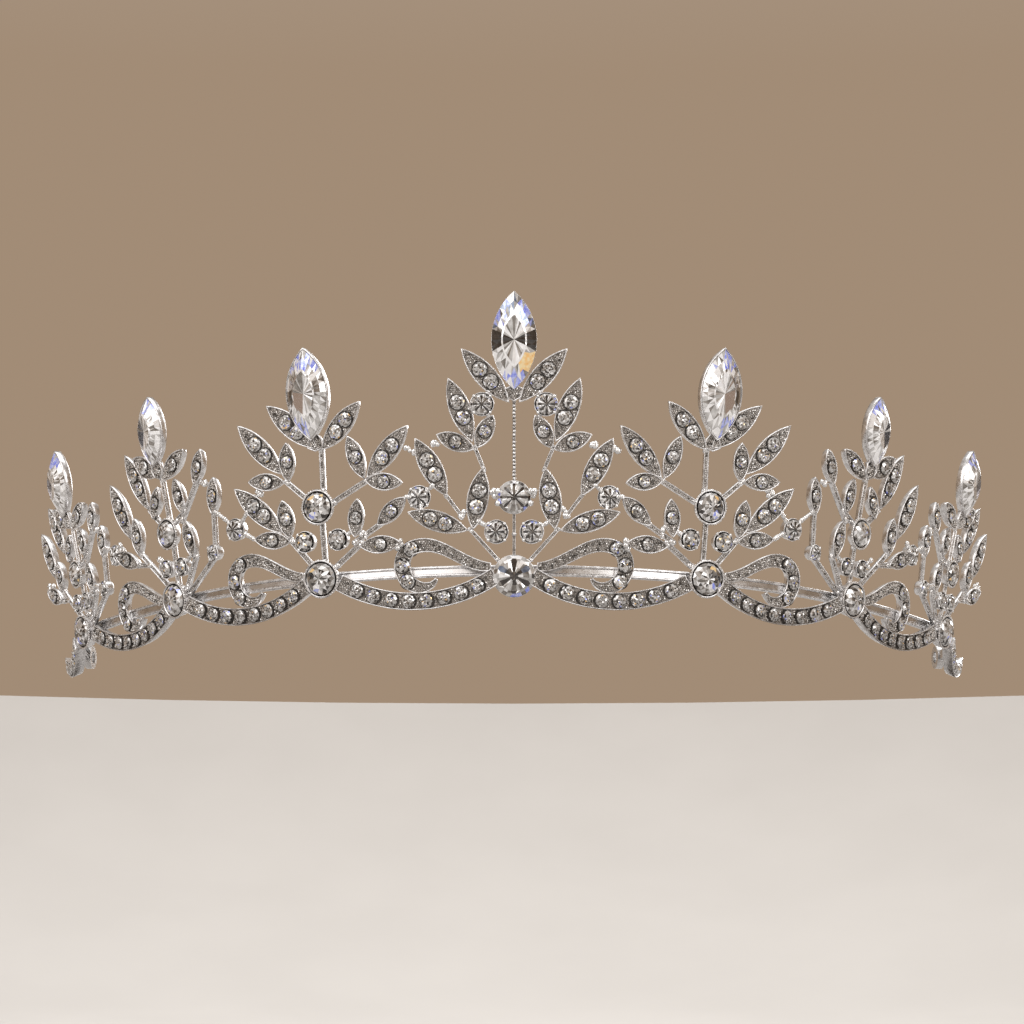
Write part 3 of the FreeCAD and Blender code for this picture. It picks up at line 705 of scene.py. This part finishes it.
def stones_on(plate, stones):
    """The stones that lie on a plate: (x, y, radius) in its frame."""
    found = []
    for centre, radius in stones:
        x, y, z = plate.local(centre)
        if abs(z) < 3 and inside(np.array([[x, y]]), plate.outline)[0]:
            found.append((x, y, radius))
    return found


def stone_spots(node):
    """Centre and radius of each round stone of a CAD node."""
    spots = []
    for points, triangles in solids(node):
        low, high = points.min(0), points.max(0)
        spots.append(((low + high) / 2, np.linalg.norm(high - low) / math.sqrt(8)))
    return spots


def pave_plate(metal, gems, plate, stones, shift=0.0, step=0.45, rim=RIM):
    """A rimmed plate with a grain bed and its round stones."""
    loop = smoothed(plate.outline, step)
    bed_loop = raised_rim(metal, plate, loop, plate.back, plate.front, rim, FLOOR_DROP)
    bed = plate.front - FLOOR_DROP
    for x, y, radius in stones:
        painted_shade_seat(metal, plate, (x, y), radius + STONE_GAP, bed - 0.05, bed + 0.15)
        chip_stone(gems, plate, (x + shift * radius, y), radius, bed + 0.17, CHIP_CROWN)
    grains(metal, plate, bed_loop, bed, [(x, y, r + STONE_GAP) for x, y, r in stones])


def node_plates(node):
    """The plates of a CAD node."""
    return [Plate(points, triangles) for points, triangles in solids(node)]


SIDES = ("left", "right")


def motif_labels():
    """centre, inner_left, inner_right and so on."""
    yield "centre", ""
    for name in ("inner", "mid", "outer"):
        for side in SIDES:
            yield name, "_" + side


gem_piles = {kind: Pile() for kind in ("leaf", "scallop", "scroll", "small", "base", "upper",
                                       "marquise")}
leaf_spots = stone_spots("leaf_crystals")
scallop_spots = stone_spots("scallop_crystals")
scroll_spots = stone_spots("scroll_crystals")


def outward_shift(plate):
    """Stones that turn away from the viewer sit towards the outside of their seats."""
    return plate.axes[2][0] * 0.16


def lens_span(outline):
    """Direction of the longer axis of a pointed oval, upwards, and its two half sizes."""
    far = outline[np.argmax(np.hypot(*outline.T))]
    turn = unit(far if far[1] > 0 else -far)
    return turn, np.hypot(*far), np.abs(outline @ np.array([-turn[1], turn[0]])).max()


def highest_end(node):
    """The top end of the rod that reaches highest in a node of stems."""
    rod = max((points for points, _ in solids(node)), key=lambda points: points[:, 2].max())
    return rod[rod[:, 2] > rod[:, 2].max() - 0.3].mean(0)


def throat(metal, setting, stem_top):
    """The small pavé wedge between a marquise's foot and the two leaves under it."""
    turn, half_length, _ = lens_span(setting.outline)
    foot, join = -turn * half_length, setting.local(stem_top)[:2]
    length = max(np.hypot(*(join - foot)), 1.2) + 0.6
    down = unit(join - foot)
    low_width = THROAT_WIDTH - 0.35
    shape = ((-0.9, 0.0), (-0.25, -THROAT_WIDTH), (length * 0.6, -low_width), (length, 0.0),
             (length * 0.6, low_width), (-0.25, THROAT_WIDTH))
    points = np.array([foot + down * u + np.array([-down[1], down[0]]) * v for u, v in shape])
    wedge = Spot(setting.origin, setting.axes)
    wedge.outline = points if signed_area(points) > 0 else points[::-1]
    wedge.back, wedge.front = setting.back, setting.front - THROAT_DROP
    pave_plate(metal, None, wedge, [], step=0.5)


leaf_plates, marquise_plates = {}, {}
for name, side in motif_labels():
    node = name + "_leaves" + side
    pile = Pile()
    plates = node_plates(node)
    leaf_plates[name + side] = plates
    for plate in plates:
        pave_plate(pile, gem_piles["leaf"], plate, stones_on(plate, leaf_spots),
                   outward_shift(plate))
    marquise_plates[name + side] = node_plates(name + "_marquise_setting" + side)
    for setting in marquise_plates[name + side]:
        throat(pile, setting, highest_end(name + "_stems" + side))
    pile.build("pave_" + node, "rhodium_plate", node)

for family in ("front", "middle", "rear", "tail"):
    for side in SIDES:
        node = "%s_scallop_%s" % (family, side)
        pile = Pile()
        for plate in node_plates(node):
            pave_plate(pile, gem_piles["scallop"], plate, stones_on(plate, scallop_spots),
                       outward_shift(plate) + 0.1 * plate.side, step=0.6, rim=BAND_RIM)
        pile.build("pave_" + node, "rhodium_plate", node)
        if family == "tail":
            continue
        node = "%s_scroll_%s" % (family, side)
        pile = Pile()
        for plate in node_plates(node):
            pave_plate(pile, gem_piles["scroll"], plate, stones_on(plate, scroll_spots),
                       outward_shift(plate), step=0.35, rim=BAND_RIM)
        pile.build("pave_" + node, "rhodium_plate", node)


# ---------------------------------------------------------------- stems

def bead(pile, place, centre, radius, finish, flat=0.8):
    """A small ball with a slightly uneven skin."""
    rows, count = 5, 8
    points, faces = [], []
    for row in range(1, rows):
        angle = math.pi * row / rows
        points.append(ring(centre[:2], radius * math.sin(angle),
                           centre[2] + flat * radius * math.cos(angle), count,
                           row * 0.4, radius * 0.08))
    points = np.concatenate(points + [[[centre[0], centre[1], centre[2] + flat * radius],
                                       [centre[0], centre[1], centre[2] - flat * radius]]])
    last = (rows - 1) * count
    for row in range(rows - 2):
        for i in range(count):
            j = (i + 1) % count
            low, high = row * count, (row + 1) * count
            faces.append((low + i, high + i, high + j, low + j))
    for i in range(count):
        j = (i + 1) % count
        faces.append((last, i, j))
        faces.append((last + 1, last - count + j, last - count + i))
    pile.add(place.world(points), faces, finish, True)


def stem_bar(pile, place, length, width):
    """A flat bar with two raised edges, a beaded line between them and soldered ends."""
    half, end = width / 2, length / 2
    loop = np.array([(-end, -half), (end, -half), (end, half), (-end, half)])
    loop = smoothed(loop, 0.5)
    bed = raised_rim(pile, place, loop, BAR_BACK, BAR_FRONT, width * 0.27, BAR_DROP)
    count = max(2, int(np.ptp(bed[:, 0]) / 0.34))
    for x in np.linspace(bed[:, 0].min() + 0.15, bed[:, 0].max() - 0.15, count):
        kind = str(RNG.choice(GRAIN_KINDS, p=(0.68, 0.2, 0.12)))
        bead(pile, place, (x, 0, BAR_FRONT - BAR_DROP), width * 0.155, kind)
    for x in (-end + 0.2, -end + 0.65, end - 0.65, end - 0.2):
        bead(pile, place, (x, RNG.uniform(-0.15, 0.15), 0.1), width * RNG.uniform(0.44, 0.6),
             "solder")


def stem_chain(pile, place, length, reach):
    """A row of beads on a thin wire, longer at its top by the reach."""
    low, high = -length / 2, length / 2 + reach
    around = ring((0, 0), CHAIN_WIRE, 0, WIRE_SIDES)
    bridge(pile, place, [np.column_stack([np.full(WIRE_SIDES, x), around[:, :2]])
                         for x in (low, high)], "grain_dark")
    for x in np.linspace(low, high, int((high - low) / CHAIN_PITCH)):
        kind = str(RNG.choice(["plate", "solder", "grain_mid"], p=(0.5, 0.3, 0.2)))
        bead(pile, place, (x, RNG.uniform(-0.03, 0.03), 0.0), CHAIN_BEAD, kind, 0.9)


def solder_blob(pile, place, radius):
    """A few drops of bright solder run together."""
    for _ in range(5):
        x, y = RNG.normal(0, radius * 0.45, 2)
        bead(pile, place, (x, y, RNG.uniform(0, 0.3)), radius * RNG.uniform(0.45, 0.75), "solder")


for name, side in motif_labels():
    node = name + "_stems" + side
    pile = Pile()
    frame_plate = leaf_plates[name + side][0]
    proud = frame_plate.axes[2]
    for points, _ in solids(node):
        short = np.ptp(points, axis=0).max() <= SHORT_STEM
        middle = box_middle(points) if short else points.mean(0)
        centred = points - points.mean(0)
        _, _, directions = np.linalg.svd(centred, full_matrices=False)
        if np.ptp(centred @ directions[1]) > BALL_WIDTH:
            solder_blob(pile, Spot(middle, frame_plate.axes), BLOB_RADIUS)
            continue
        length = np.ptp(centred @ directions[0])
        long = directions[0] if directions[0] @ frame_plate.axes[1] > 0 else -directions[0]
        place = Spot(middle, [long, np.cross(proud, long), proud])
        if name != "centre":
            stem_bar(pile, place, length, BAR_WIDTH)
        elif abs(long @ frame_plate.axes[0]) > 0.02:
            stem_bar(pile, place, length, FINE_BAR)
        elif middle[2] > marquise_plates[name + side][0].origin[2] / 2:
            stem_chain(pile, place, length, CHAIN_REACH)
        else:
            stem_bar(pile, place, length, FINE_BAR * 0.8)
            bead(pile, place, (0, 0, 0.2), CHAIN_BEAD * 1.3, "plate")
    pile.build("beaded_" + node, "rhodium_plate", node)


# ---------------------------------------------------------------- round settings

def cup(pile, place, radius, back, front, rim):
    """A tapered bezel with a rolled rim and a well painted near-black as shade."""
    profile = [(radius * 0.6, back + 0.05), (radius * 0.8, back), (radius * 0.86, back + 0.15),
               (radius * 0.97, front - 0.35), (radius, front - 0.12), (radius - rim * 0.25, front),
               (radius - rim * 0.75, front - 0.02), (radius - rim, front - 0.14)]
    loops = [ring((0, 0), r, z, CUP_SIDES) for r, z in profile]
    bridge(pile, place, loops, "plate")
    well = [loops[-1], ring((0, 0), radius - rim - 0.1, front - 0.7, CUP_SIDES)]
    bridge(pile, place, well, "seat")
    pile.add(place.world(well[1]), [tuple(range(CUP_SIDES))], "seat")
    pile.add(place.world(loops[0]), [tuple(reversed(range(CUP_SIDES)))], "back")


def on_rim(radius, angle, height):
    return radius * math.cos(angle), radius * math.sin(angle), height


def prongs(pile, place, radius, front, count, size, turn=math.pi / 4):
    """Bright drops that hold a stone by its edge."""
    for k in range(count):
        bead(pile, place, on_rim(radius, turn + k * 2 * math.pi / count, front), size, "solder")


def milled_edge(pile, place, radius, front):
    """A ring of fine beads round a bezel."""
    count = int(2 * math.pi * radius / MILL_PITCH)
    for k in range(count):
        kind = str(RNG.choice(["grain", "solder", "grain_mid"], p=(0.5, 0.3, 0.2)))
        bead(pile, place, on_rim(radius, k * 2 * math.pi / count, front), 0.2, kind)


for name, side in motif_labels():
    for level_name in ("base", "upper"):
        node = "%s_%s_setting%s" % (name, level_name, side)
        pile = Pile()
        gem = gem_piles[level_name]
        for solid in solids(node):
            plate = Plate(*solid, outlined=False)
            if name == "centre":
                cup(pile, plate, plate.radius, plate.back, plate.front - 0.25, FINE_WALL)
                petals, width = (6, 0.2) if level_name == "base" else (8, 0.17)
                star_stone(gem, plate, (0, 0), plate.radius - 0.06, plate.front - 0.2, 0.85,
                           petals, width)
                if level_name == "upper":
                    for turn in (0.35, math.pi - 0.35):
                        prongs(pile, plate, plate.radius * 1.02, plate.front, 2, 0.52, turn)
            else:
                cup(pile, plate, plate.radius, plate.back, plate.front, CUP_WALL)
                milled_edge(pile, plate, plate.radius - 0.06, plate.front - 0.16)
                brilliant_stone(gem, plate, (outward_shift(plate), 0),
                                plate.radius - CUP_WALL - 0.16, plate.front - 0.22, 0.8, plate.side)
        pile.build("bezel_" + node, "rhodium_plate", node)


motif_feet = [(np.array(low) + np.array(high)) / 2 / MM for low, high in
              (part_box("%s_base_setting%s" % label) for label in motif_labels())]


def star_set(plate):
    """Whether a small round is on the front motif, or stands between two motifs."""
    gap = min(np.hypot(*(foot - plate.origin)[:2]) for foot in motif_feet)
    return gap > MOTIF_REACH or abs(plate.origin[0]) < MOTIF_REACH


def solder_links(pile, plate, feet):
    """Drops of solder from a round setting to the two nearest leaves, on different sides."""
    nearest = []
    for leaf in feet:
        rel = leaf - plate.origin
        closest = rel[np.argmin(np.linalg.norm(rel, axis=1))]
        if np.linalg.norm(closest) < plate.radius + LINK_REACH:
            nearest.append(closest)
    nearest.sort(key=np.linalg.norm)
    chosen = []
    for way in nearest:
        if all(unit(way) @ unit(other) < 0.6 for other in chosen) and len(chosen) < 3:
            chosen.append(way)
    for way in chosen:
        gap = np.linalg.norm(way)
        for distance in np.arange(plate.radius * 0.95, max(gap, plate.radius) + 0.3, LINK_PITCH):
            x, y, z = plate.axes @ (unit(way) * distance)
            bead(pile, plate, (x, y, z - 0.1), RNG.uniform(0.3, 0.44), "solder")


leaf_edges = [plate.world(level(plate.outline, plate.front - 0.3))
              for plates in leaf_plates.values() for plate in plates]
pile = Pile()
for solid in solids("small_settings"):
    plate = Plate(*solid, outlined=False)
    cup(pile, plate, plate.radius, plate.back, plate.front, SMALL_WALL)
    spot = (plate.axes[2][0] * 0.1 + plate.side * 0.08, 0)
    if star_set(plate):
        star_stone(gem_piles["small"], plate, spot, plate.radius - 0.24, plate.front - 0.1, 0.5)
    else:
        chip_stone(gem_piles["small"], plate, spot, plate.radius - 0.3, plate.front - 0.14, 0.5)
    prongs(pile, plate, plate.radius * 0.95, plate.front - 0.05, 4, 0.28)
    solder_links(pile, plate, leaf_edges)
pile.build("bezel_small_settings", "rhodium_plate", "small_settings")


# ---------------------------------------------------------------- marquises

def lens_points(half_length, half_width, count):
    """Points of a pointed oval of two arcs, from its top tip round by the left."""
    radius = (half_length ** 2 + half_width ** 2) / (2 * half_width)
    reach = math.asin(half_length / radius)
    angles = np.linspace(reach, -reach, count + 1)[:-1]
    left = np.column_stack([radius * np.sin(angles), radius * np.cos(angles) - radius + half_width])
    return np.concatenate([left, -left])


def lens_within(half_length, half_width, wall):
    """Half sizes of the pointed oval that lies a wall inside another."""
    radius = (half_length ** 2 + half_width ** 2) / (2 * half_width)
    length = math.sqrt((radius - wall) ** 2 - (radius - half_width) ** 2)
    return length, half_width - wall


def front_marquise_finish(level_number, u, v):
    """Facets of the front marquise: painted dark reflections in bars at its waist, painted coloured
    glints at its tips.
    """
    if level_number == 1 and abs(u) < 0.21 or level_number == 2 and abs(u) < 0.16:
        return "dark_reflection_facet"
    if level_number == 3:
        return "highlight_facet"
    if level_number == 5 and abs(u) < 0.06:
        return "dark_reflection_facet"
    if level_number < 3 and u > 0.3 and abs(v) > 0.12 and RNG.random() < 0.55:
        return "azure_glint_facet"
    if level_number < 3 and u > 0.25:
        return str(RNG.choice(["dim_reflection_facet", "clear", "cool_reflection_facet"], p=(0.25, 0.5, 0.25)))
    if level_number < 3 and -0.6 < u < -0.25 and v < -0.2:
        return "amber_glint_facet"
    if u < -0.7 and RNG.random() < 0.7:
        return "azure_glint_facet"
    return str(RNG.choice(["highlight_facet", "clear", "dim_reflection_facet"], p=(0.36, 0.48, 0.16)))


def side_marquise_finish(level_number, u, v):
    """Facets of the other marquises: a clear window towards the outside, streaks of painted
    highlights and painted dark reflections elsewhere.
    """
    if level_number >= 3 and -0.34 < u < 0.02 and 0.04 < v < 0.5:
        return "window"
    if level_number in (1, 2) and -0.22 < u < 0.12 and v > 0.62:
        return "dark_reflection_facet" if level_number == 2 else "dim_reflection_facet"
    if level_number >= 2 and 0.05 < u < 0.4 and 0.15 < v < 0.8:
        return str(RNG.choice(["window", "dim_reflection_facet", "clear"], p=(0.4, 0.25, 0.35)))
    if level_number == 2 and -0.02 < u < 0.16 and v < -0.5:
        return "dim_reflection_facet"
    if level_number <= 2 and u > 0.55 and RNG.random() < 0.5:
        return "azure_glint_facet"
    if u < -0.55 and v > 0 and RNG.random() < 0.4:
        return "azure_glint_facet"
    return str(RNG.choice(["highlight_facet", "clear", "dim_reflection_facet"], p=(0.5, 0.38, 0.12)))


# Share of the outline and of the crown's height of each loop of a marquise's crown.
MARQUISE_PROFILE = ((1.0, -0.06), (1.0, 0.06), (0.8, 0.5), (0.57, 0.92), (0.5, 1.0))
MARQUISE_FACETS = 20    # along each of its two arcs


def marquise_stone(pile, place, half_length, half_width, girdle, crown, depth, choose, mirror):
    """A pointed-oval crystal: a faceted crown over a fan that meets at its middle."""
    loops = []
    for number, (scale, rise) in enumerate(MARQUISE_PROFILE):
        flat = lens_points(half_length * scale, half_width * scale, MARQUISE_FACETS)
        loop = level(flat, girdle + crown * rise)
        if number >= 2:
            loop[:, 2] += RNG.uniform(-0.05, 0.05, len(loop))
        loops.append(loop)
    n = 2 * MARQUISE_FACETS
    middle = np.array([[0, 0, girdle + crown * 0.9]])
    culet = np.array([[0, 0, girdle - depth]])
    points = np.concatenate(loops + [middle, culet])
    faces, names = [], []

    # A facet's painted tone, highlight, reflection or glint, by where it lies.
    def finish(face, number):
        centre = points[list(face)].mean(0)
        return choose(number, centre[0] / half_length, mirror * centre[1] / half_width)

    for number in range(len(loops) - 1):
        low, high = number * n, (number + 1) * n
        for i in range(n):
            j = (i + 1) % n
            if number in (0, 3):
                shapes = [(low + i, low + j, high + j, high + i)]
            elif (i + number) % 2:
                shapes = [(low + i, low + j, high + j), (low + i, high + j, high + i)]
            else:
                shapes = [(low + i, low + j, high + i), (low + j, high + j, high + i)]
            for face in shapes:
                faces.append(face)
                names.append("clear" if number < 1 else finish(face, number))
    last, hub = (len(loops) - 1) * n, len(loops) * n
    for i in range(n):
        face = (last + i, last + (i + 1) % n, hub)
        faces.append(face)
        names.append(finish(face, len(loops)))
    for i in range(n):
        face = ((i + 1) % n, i, hub + 1)
        faces.append(face)
        away = mirror * points[list(face)].mean(0)[1] > 0
        names.append("window" if choose is side_marquise_finish and away else "clear")
    pile.add(place.world(points), faces, names)


for name, side in motif_labels():
    node = name + "_marquise_setting" + side
    pile = Pile()
    for plate in marquise_plates[name + side]:
        turn, half_length, half_width = lens_span(plate.outline)
        long = turn[0] * plate.axes[0] + turn[1] * plate.axes[1]
        place = Spot(plate.origin, [long, np.cross(plate.axes[2], long), plate.axes[2]])
        front_one = name == "centre"
        rim = 0.06 if front_one else 0.24
        top = plate.front - (0.35 if front_one else 0)
        profile = ((0.5, plate.back), (0.1, plate.back + 0.3), (0.0, top - 0.2), (rim * 0.3, top),
                   (rim * 0.8, top - 0.02), (rim, top - 0.15), (rim + 0.1, top - 0.5),
                   (0.5, plate.back + 0.2))
        bridge(pile, place, [level(lens_points(*lens_within(half_length, half_width, wall), 24), z)
                             for wall, z in profile], "plate")
        stone = lens_within(half_length, half_width, rim + (0.0 if front_one else 0.04))
        marquise_stone(gem_piles["marquise"], place, *stone, plate.front - 0.15, 1.4, 0.75,
                       front_marquise_finish if front_one else side_marquise_finish,
                       1 if front_one else -plate.side)
    pile.build("bezel_" + node, "rhodium_plate", node)

for kind, slot in (("leaf", "round_crystal"), ("scallop", "round_crystal"),
                   ("scroll", "round_crystal"), ("small", "round_crystal"),
                   ("base", "round_crystal"), ("upper", "round_crystal"),
                   ("marquise", "marquise_crystal")):
    gem_piles[kind].build("cut_%s_crystals" % kind, slot, kind + "_crystals")


# ---------------------------------------------------------------- headband

def front_line(points, triangles):
    """The band's lower front edge, from left to right, and its lowest and highest z."""
    strip = np.abs(points[:, 0]) < np.abs(points[:, 0]).max() - 5
    low, high = points[strip, 2].min(), points[strip, 2].max()
    flat = (np.abs(points[triangles][:, :, 2] - low) < 0.01).all(axis=1)
    loop = outline_of(points[:, :2], triangles[flat])
    ahead = np.roll(loop, -1, axis=0) - loop
    outward = np.stack([ahead[:, 1], -ahead[:, 0]], 1)
    facing = (outward * (loop - np.array([0, INSIDE_Y]))).sum(1) > 0
    edge = loop[facing]
    return edge[np.argsort(edge[:, 0])], low, high


def band_wire(pile, line, height):
    """A thin rounded wire along a line in plan."""
    ahead = np.gradient(line, axis=0)
    outward = np.stack([ahead[:, 1], -ahead[:, 0]], 1)
    outward /= np.linalg.norm(outward, axis=1)[:, None]
    lines = [level(line + outward * (WIRE_PROUD + away), height + rise)
             for away, rise, _ in ring((0, 0), WIRE_RADIUS, 0, WIRE_SIDES)]
    n, faces = len(line), []
    for k in range(WIRE_SIDES):
        here, beside = k * n, (k + 1) % WIRE_SIDES * n
        for i in range(n - 1):
            faces.append((here + i, here + i + 1, beside + i + 1, beside + i))
    faces.append(tuple(k * n for k in range(WIRE_SIDES)))
    faces.append(tuple(k * n + n - 1 for k in reversed(range(WIRE_SIDES))))
    pile.add(np.concatenate(lines), faces, "plate", True)


band = NODES["headband"]
band.data.materials.clear()
band.data.materials.append(FINISHES["band"])
edge, band_low, band_high = front_line(*welded("headband"))
pile = Pile()
for height in (band_low + WIRE_INSET, band_high - WIRE_INSET):
    band_wire(pile, edge, height)
pile.build("headband_edge_wires", "headband_steel")

# ---------------------------------------------------------------- floor, light, camera


def floor_material():
    """A pale matt floor that hides nothing from beneath."""
    material = shader_material("pale_floor", (0.5, 0.485, 0.47), 0.0, 0.75)
    vary(material, 9, (0.495, 0.48, 0.465), (0.51, 0.495, 0.48))
    tree = material.node_tree
    shader = tree.nodes["Principled BSDF"]
    clear = tree.nodes.new("ShaderNodeBsdfTransparent")
    mix = tree.nodes.new("ShaderNodeMixShader")
    geometry = tree.nodes.new("ShaderNodeNewGeometry")
    tree.links.new(geometry.outputs["Backfacing"], mix.inputs["Fac"])
    tree.links.new(shader.outputs["BSDF"], mix.inputs[1])
    tree.links.new(clear.outputs["BSDF"], mix.inputs[2])
    tree.links.new(mix.outputs["Shader"], tree.nodes["Material Output"].inputs["Surface"])
    return material


def floor():
    """A round disc under the tiara, which rises slowly to a low wall behind it."""
    count = 96
    stops = ((0.3, 0.0), (1.2, 0.0), (1.6, 0.02), (1.9, 0.08), (2.15, 0.2), (2.4, 0.39))
    points = [(0, 0, 0)]
    for radius, height in stops:
        for i in range(count):
            angle = i * 2 * math.pi / count
            behind = abs(angle - math.pi / 2)
            share = np.clip((math.radians(45) - behind) / math.radians(20), 0, 1)
            points.append((radius * math.cos(angle), radius * math.sin(angle),
                           height * share * share * (3 - 2 * share)))
    faces = [(0, 1 + i, 1 + (i + 1) % count) for i in range(count)]
    for step in range(len(stops) - 1):
        low, high = 1 + step * count, 1 + (step + 1) * count
        for i in range(count):
            j = (i + 1) % count
            faces.append((low + i, high + i, high + j, low + j))
    mesh = bpy.data.meshes.new("floor")
    mesh.from_pydata([(x, y, z + CAD_BOX[0].z - 0.0001) for x, y, z in points], [], faces)
    mesh.polygons.foreach_set("use_smooth", [True] * len(faces))
    mesh.materials.append(floor_material())
    made = bpy.data.objects.new("floor", mesh)
    bpy.context.scene.collection.objects.link(made)


def area_light(name, place, target, size, power, colour):
    """A soft square light; metres and watts."""
    light = bpy.data.lights.new(name, "AREA")
    light.size = size
    light.energy = power
    light.color = colour
    made = bpy.data.objects.new(name, light)
    made.location = place
    made.rotation_euler = (Vector(target) - Vector(place)).to_track_quat("-Z", "Y").to_euler()
    bpy.context.scene.collection.objects.link(made)


def world():
    """A plain warm studio wall all round, paler above."""
    made = bpy.data.worlds.new("studio")
    made.use_nodes = True
    tree = made.node_tree
    back = tree.nodes["Background"]
    place = tree.nodes.new("ShaderNodeTexCoord")
    split = tree.nodes.new("ShaderNodeSeparateXYZ")
    ramp = tree.nodes.new("ShaderNodeValToRGB")
    ramp.color_ramp.elements[0].position = 0.35
    ramp.color_ramp.elements[0].color = (0.36, 0.262, 0.182, 1)
    ramp.color_ramp.elements[1].position = 0.95
    ramp.color_ramp.elements[1].color = (0.72, 0.70, 0.68, 1)
    tree.links.new(place.outputs["Generated"], split.inputs["Vector"])
    tree.links.new(split.outputs["Z"], ramp.inputs["Fac"])
    tree.links.new(ramp.outputs["Color"], back.inputs["Color"])
    back.inputs["Strength"].default_value = 1.0
    bpy.context.scene.world = made


def camera():
    """The viewpoint: level with the stones' lower edge and looking a little up."""
    aim = Vector((0, -0.03436, 0.01481))
    elevation = math.radians(12.8)
    away = 0.5
    data = bpy.data.cameras.new("camera")
    data.sensor_width = 36
    data.lens = 114.8
    data.shift_x = -0.002
    made = bpy.data.objects.new("camera", data)
    made.location = aim + Vector((0, -math.cos(elevation), -math.sin(elevation))) * away
    made.rotation_euler = (aim - made.location).to_track_quat("-Z", "Y").to_euler()
    bpy.context.scene.collection.objects.link(made)
    bpy.context.scene.camera = made


floor()
world()
camera()
TIARA = (0, 0, 0.02)
area_light("key", (-0.45, -0.65, 0.45), TIARA, 0.8, 4.4, (0.98, 0.985, 1))
area_light("fill", (0.6, -0.7, 0.32), TIARA, 0.5, 2.8, (0.98, 0.99, 1))
area_light("low_front", (0, -0.75, -0.35), TIARA, 0.35, 1.4, (0.98, 0.99, 1))
area_light("top", (0.1, 0.1, 0.8), TIARA, 0.6, 2.3, (0.97, 0.985, 1))
area_light("backdrop", (0, 0.9, 1.0), (0, 2.2, 0.1), 0.9, 24, (1, 0.99, 0.97))
area_light("rim", (0.4, 0.7, 0.4), TIARA, 0.4, 3, (0.97, 0.985, 1))

bpy.context.scene.view_settings.view_transform = "Standard"
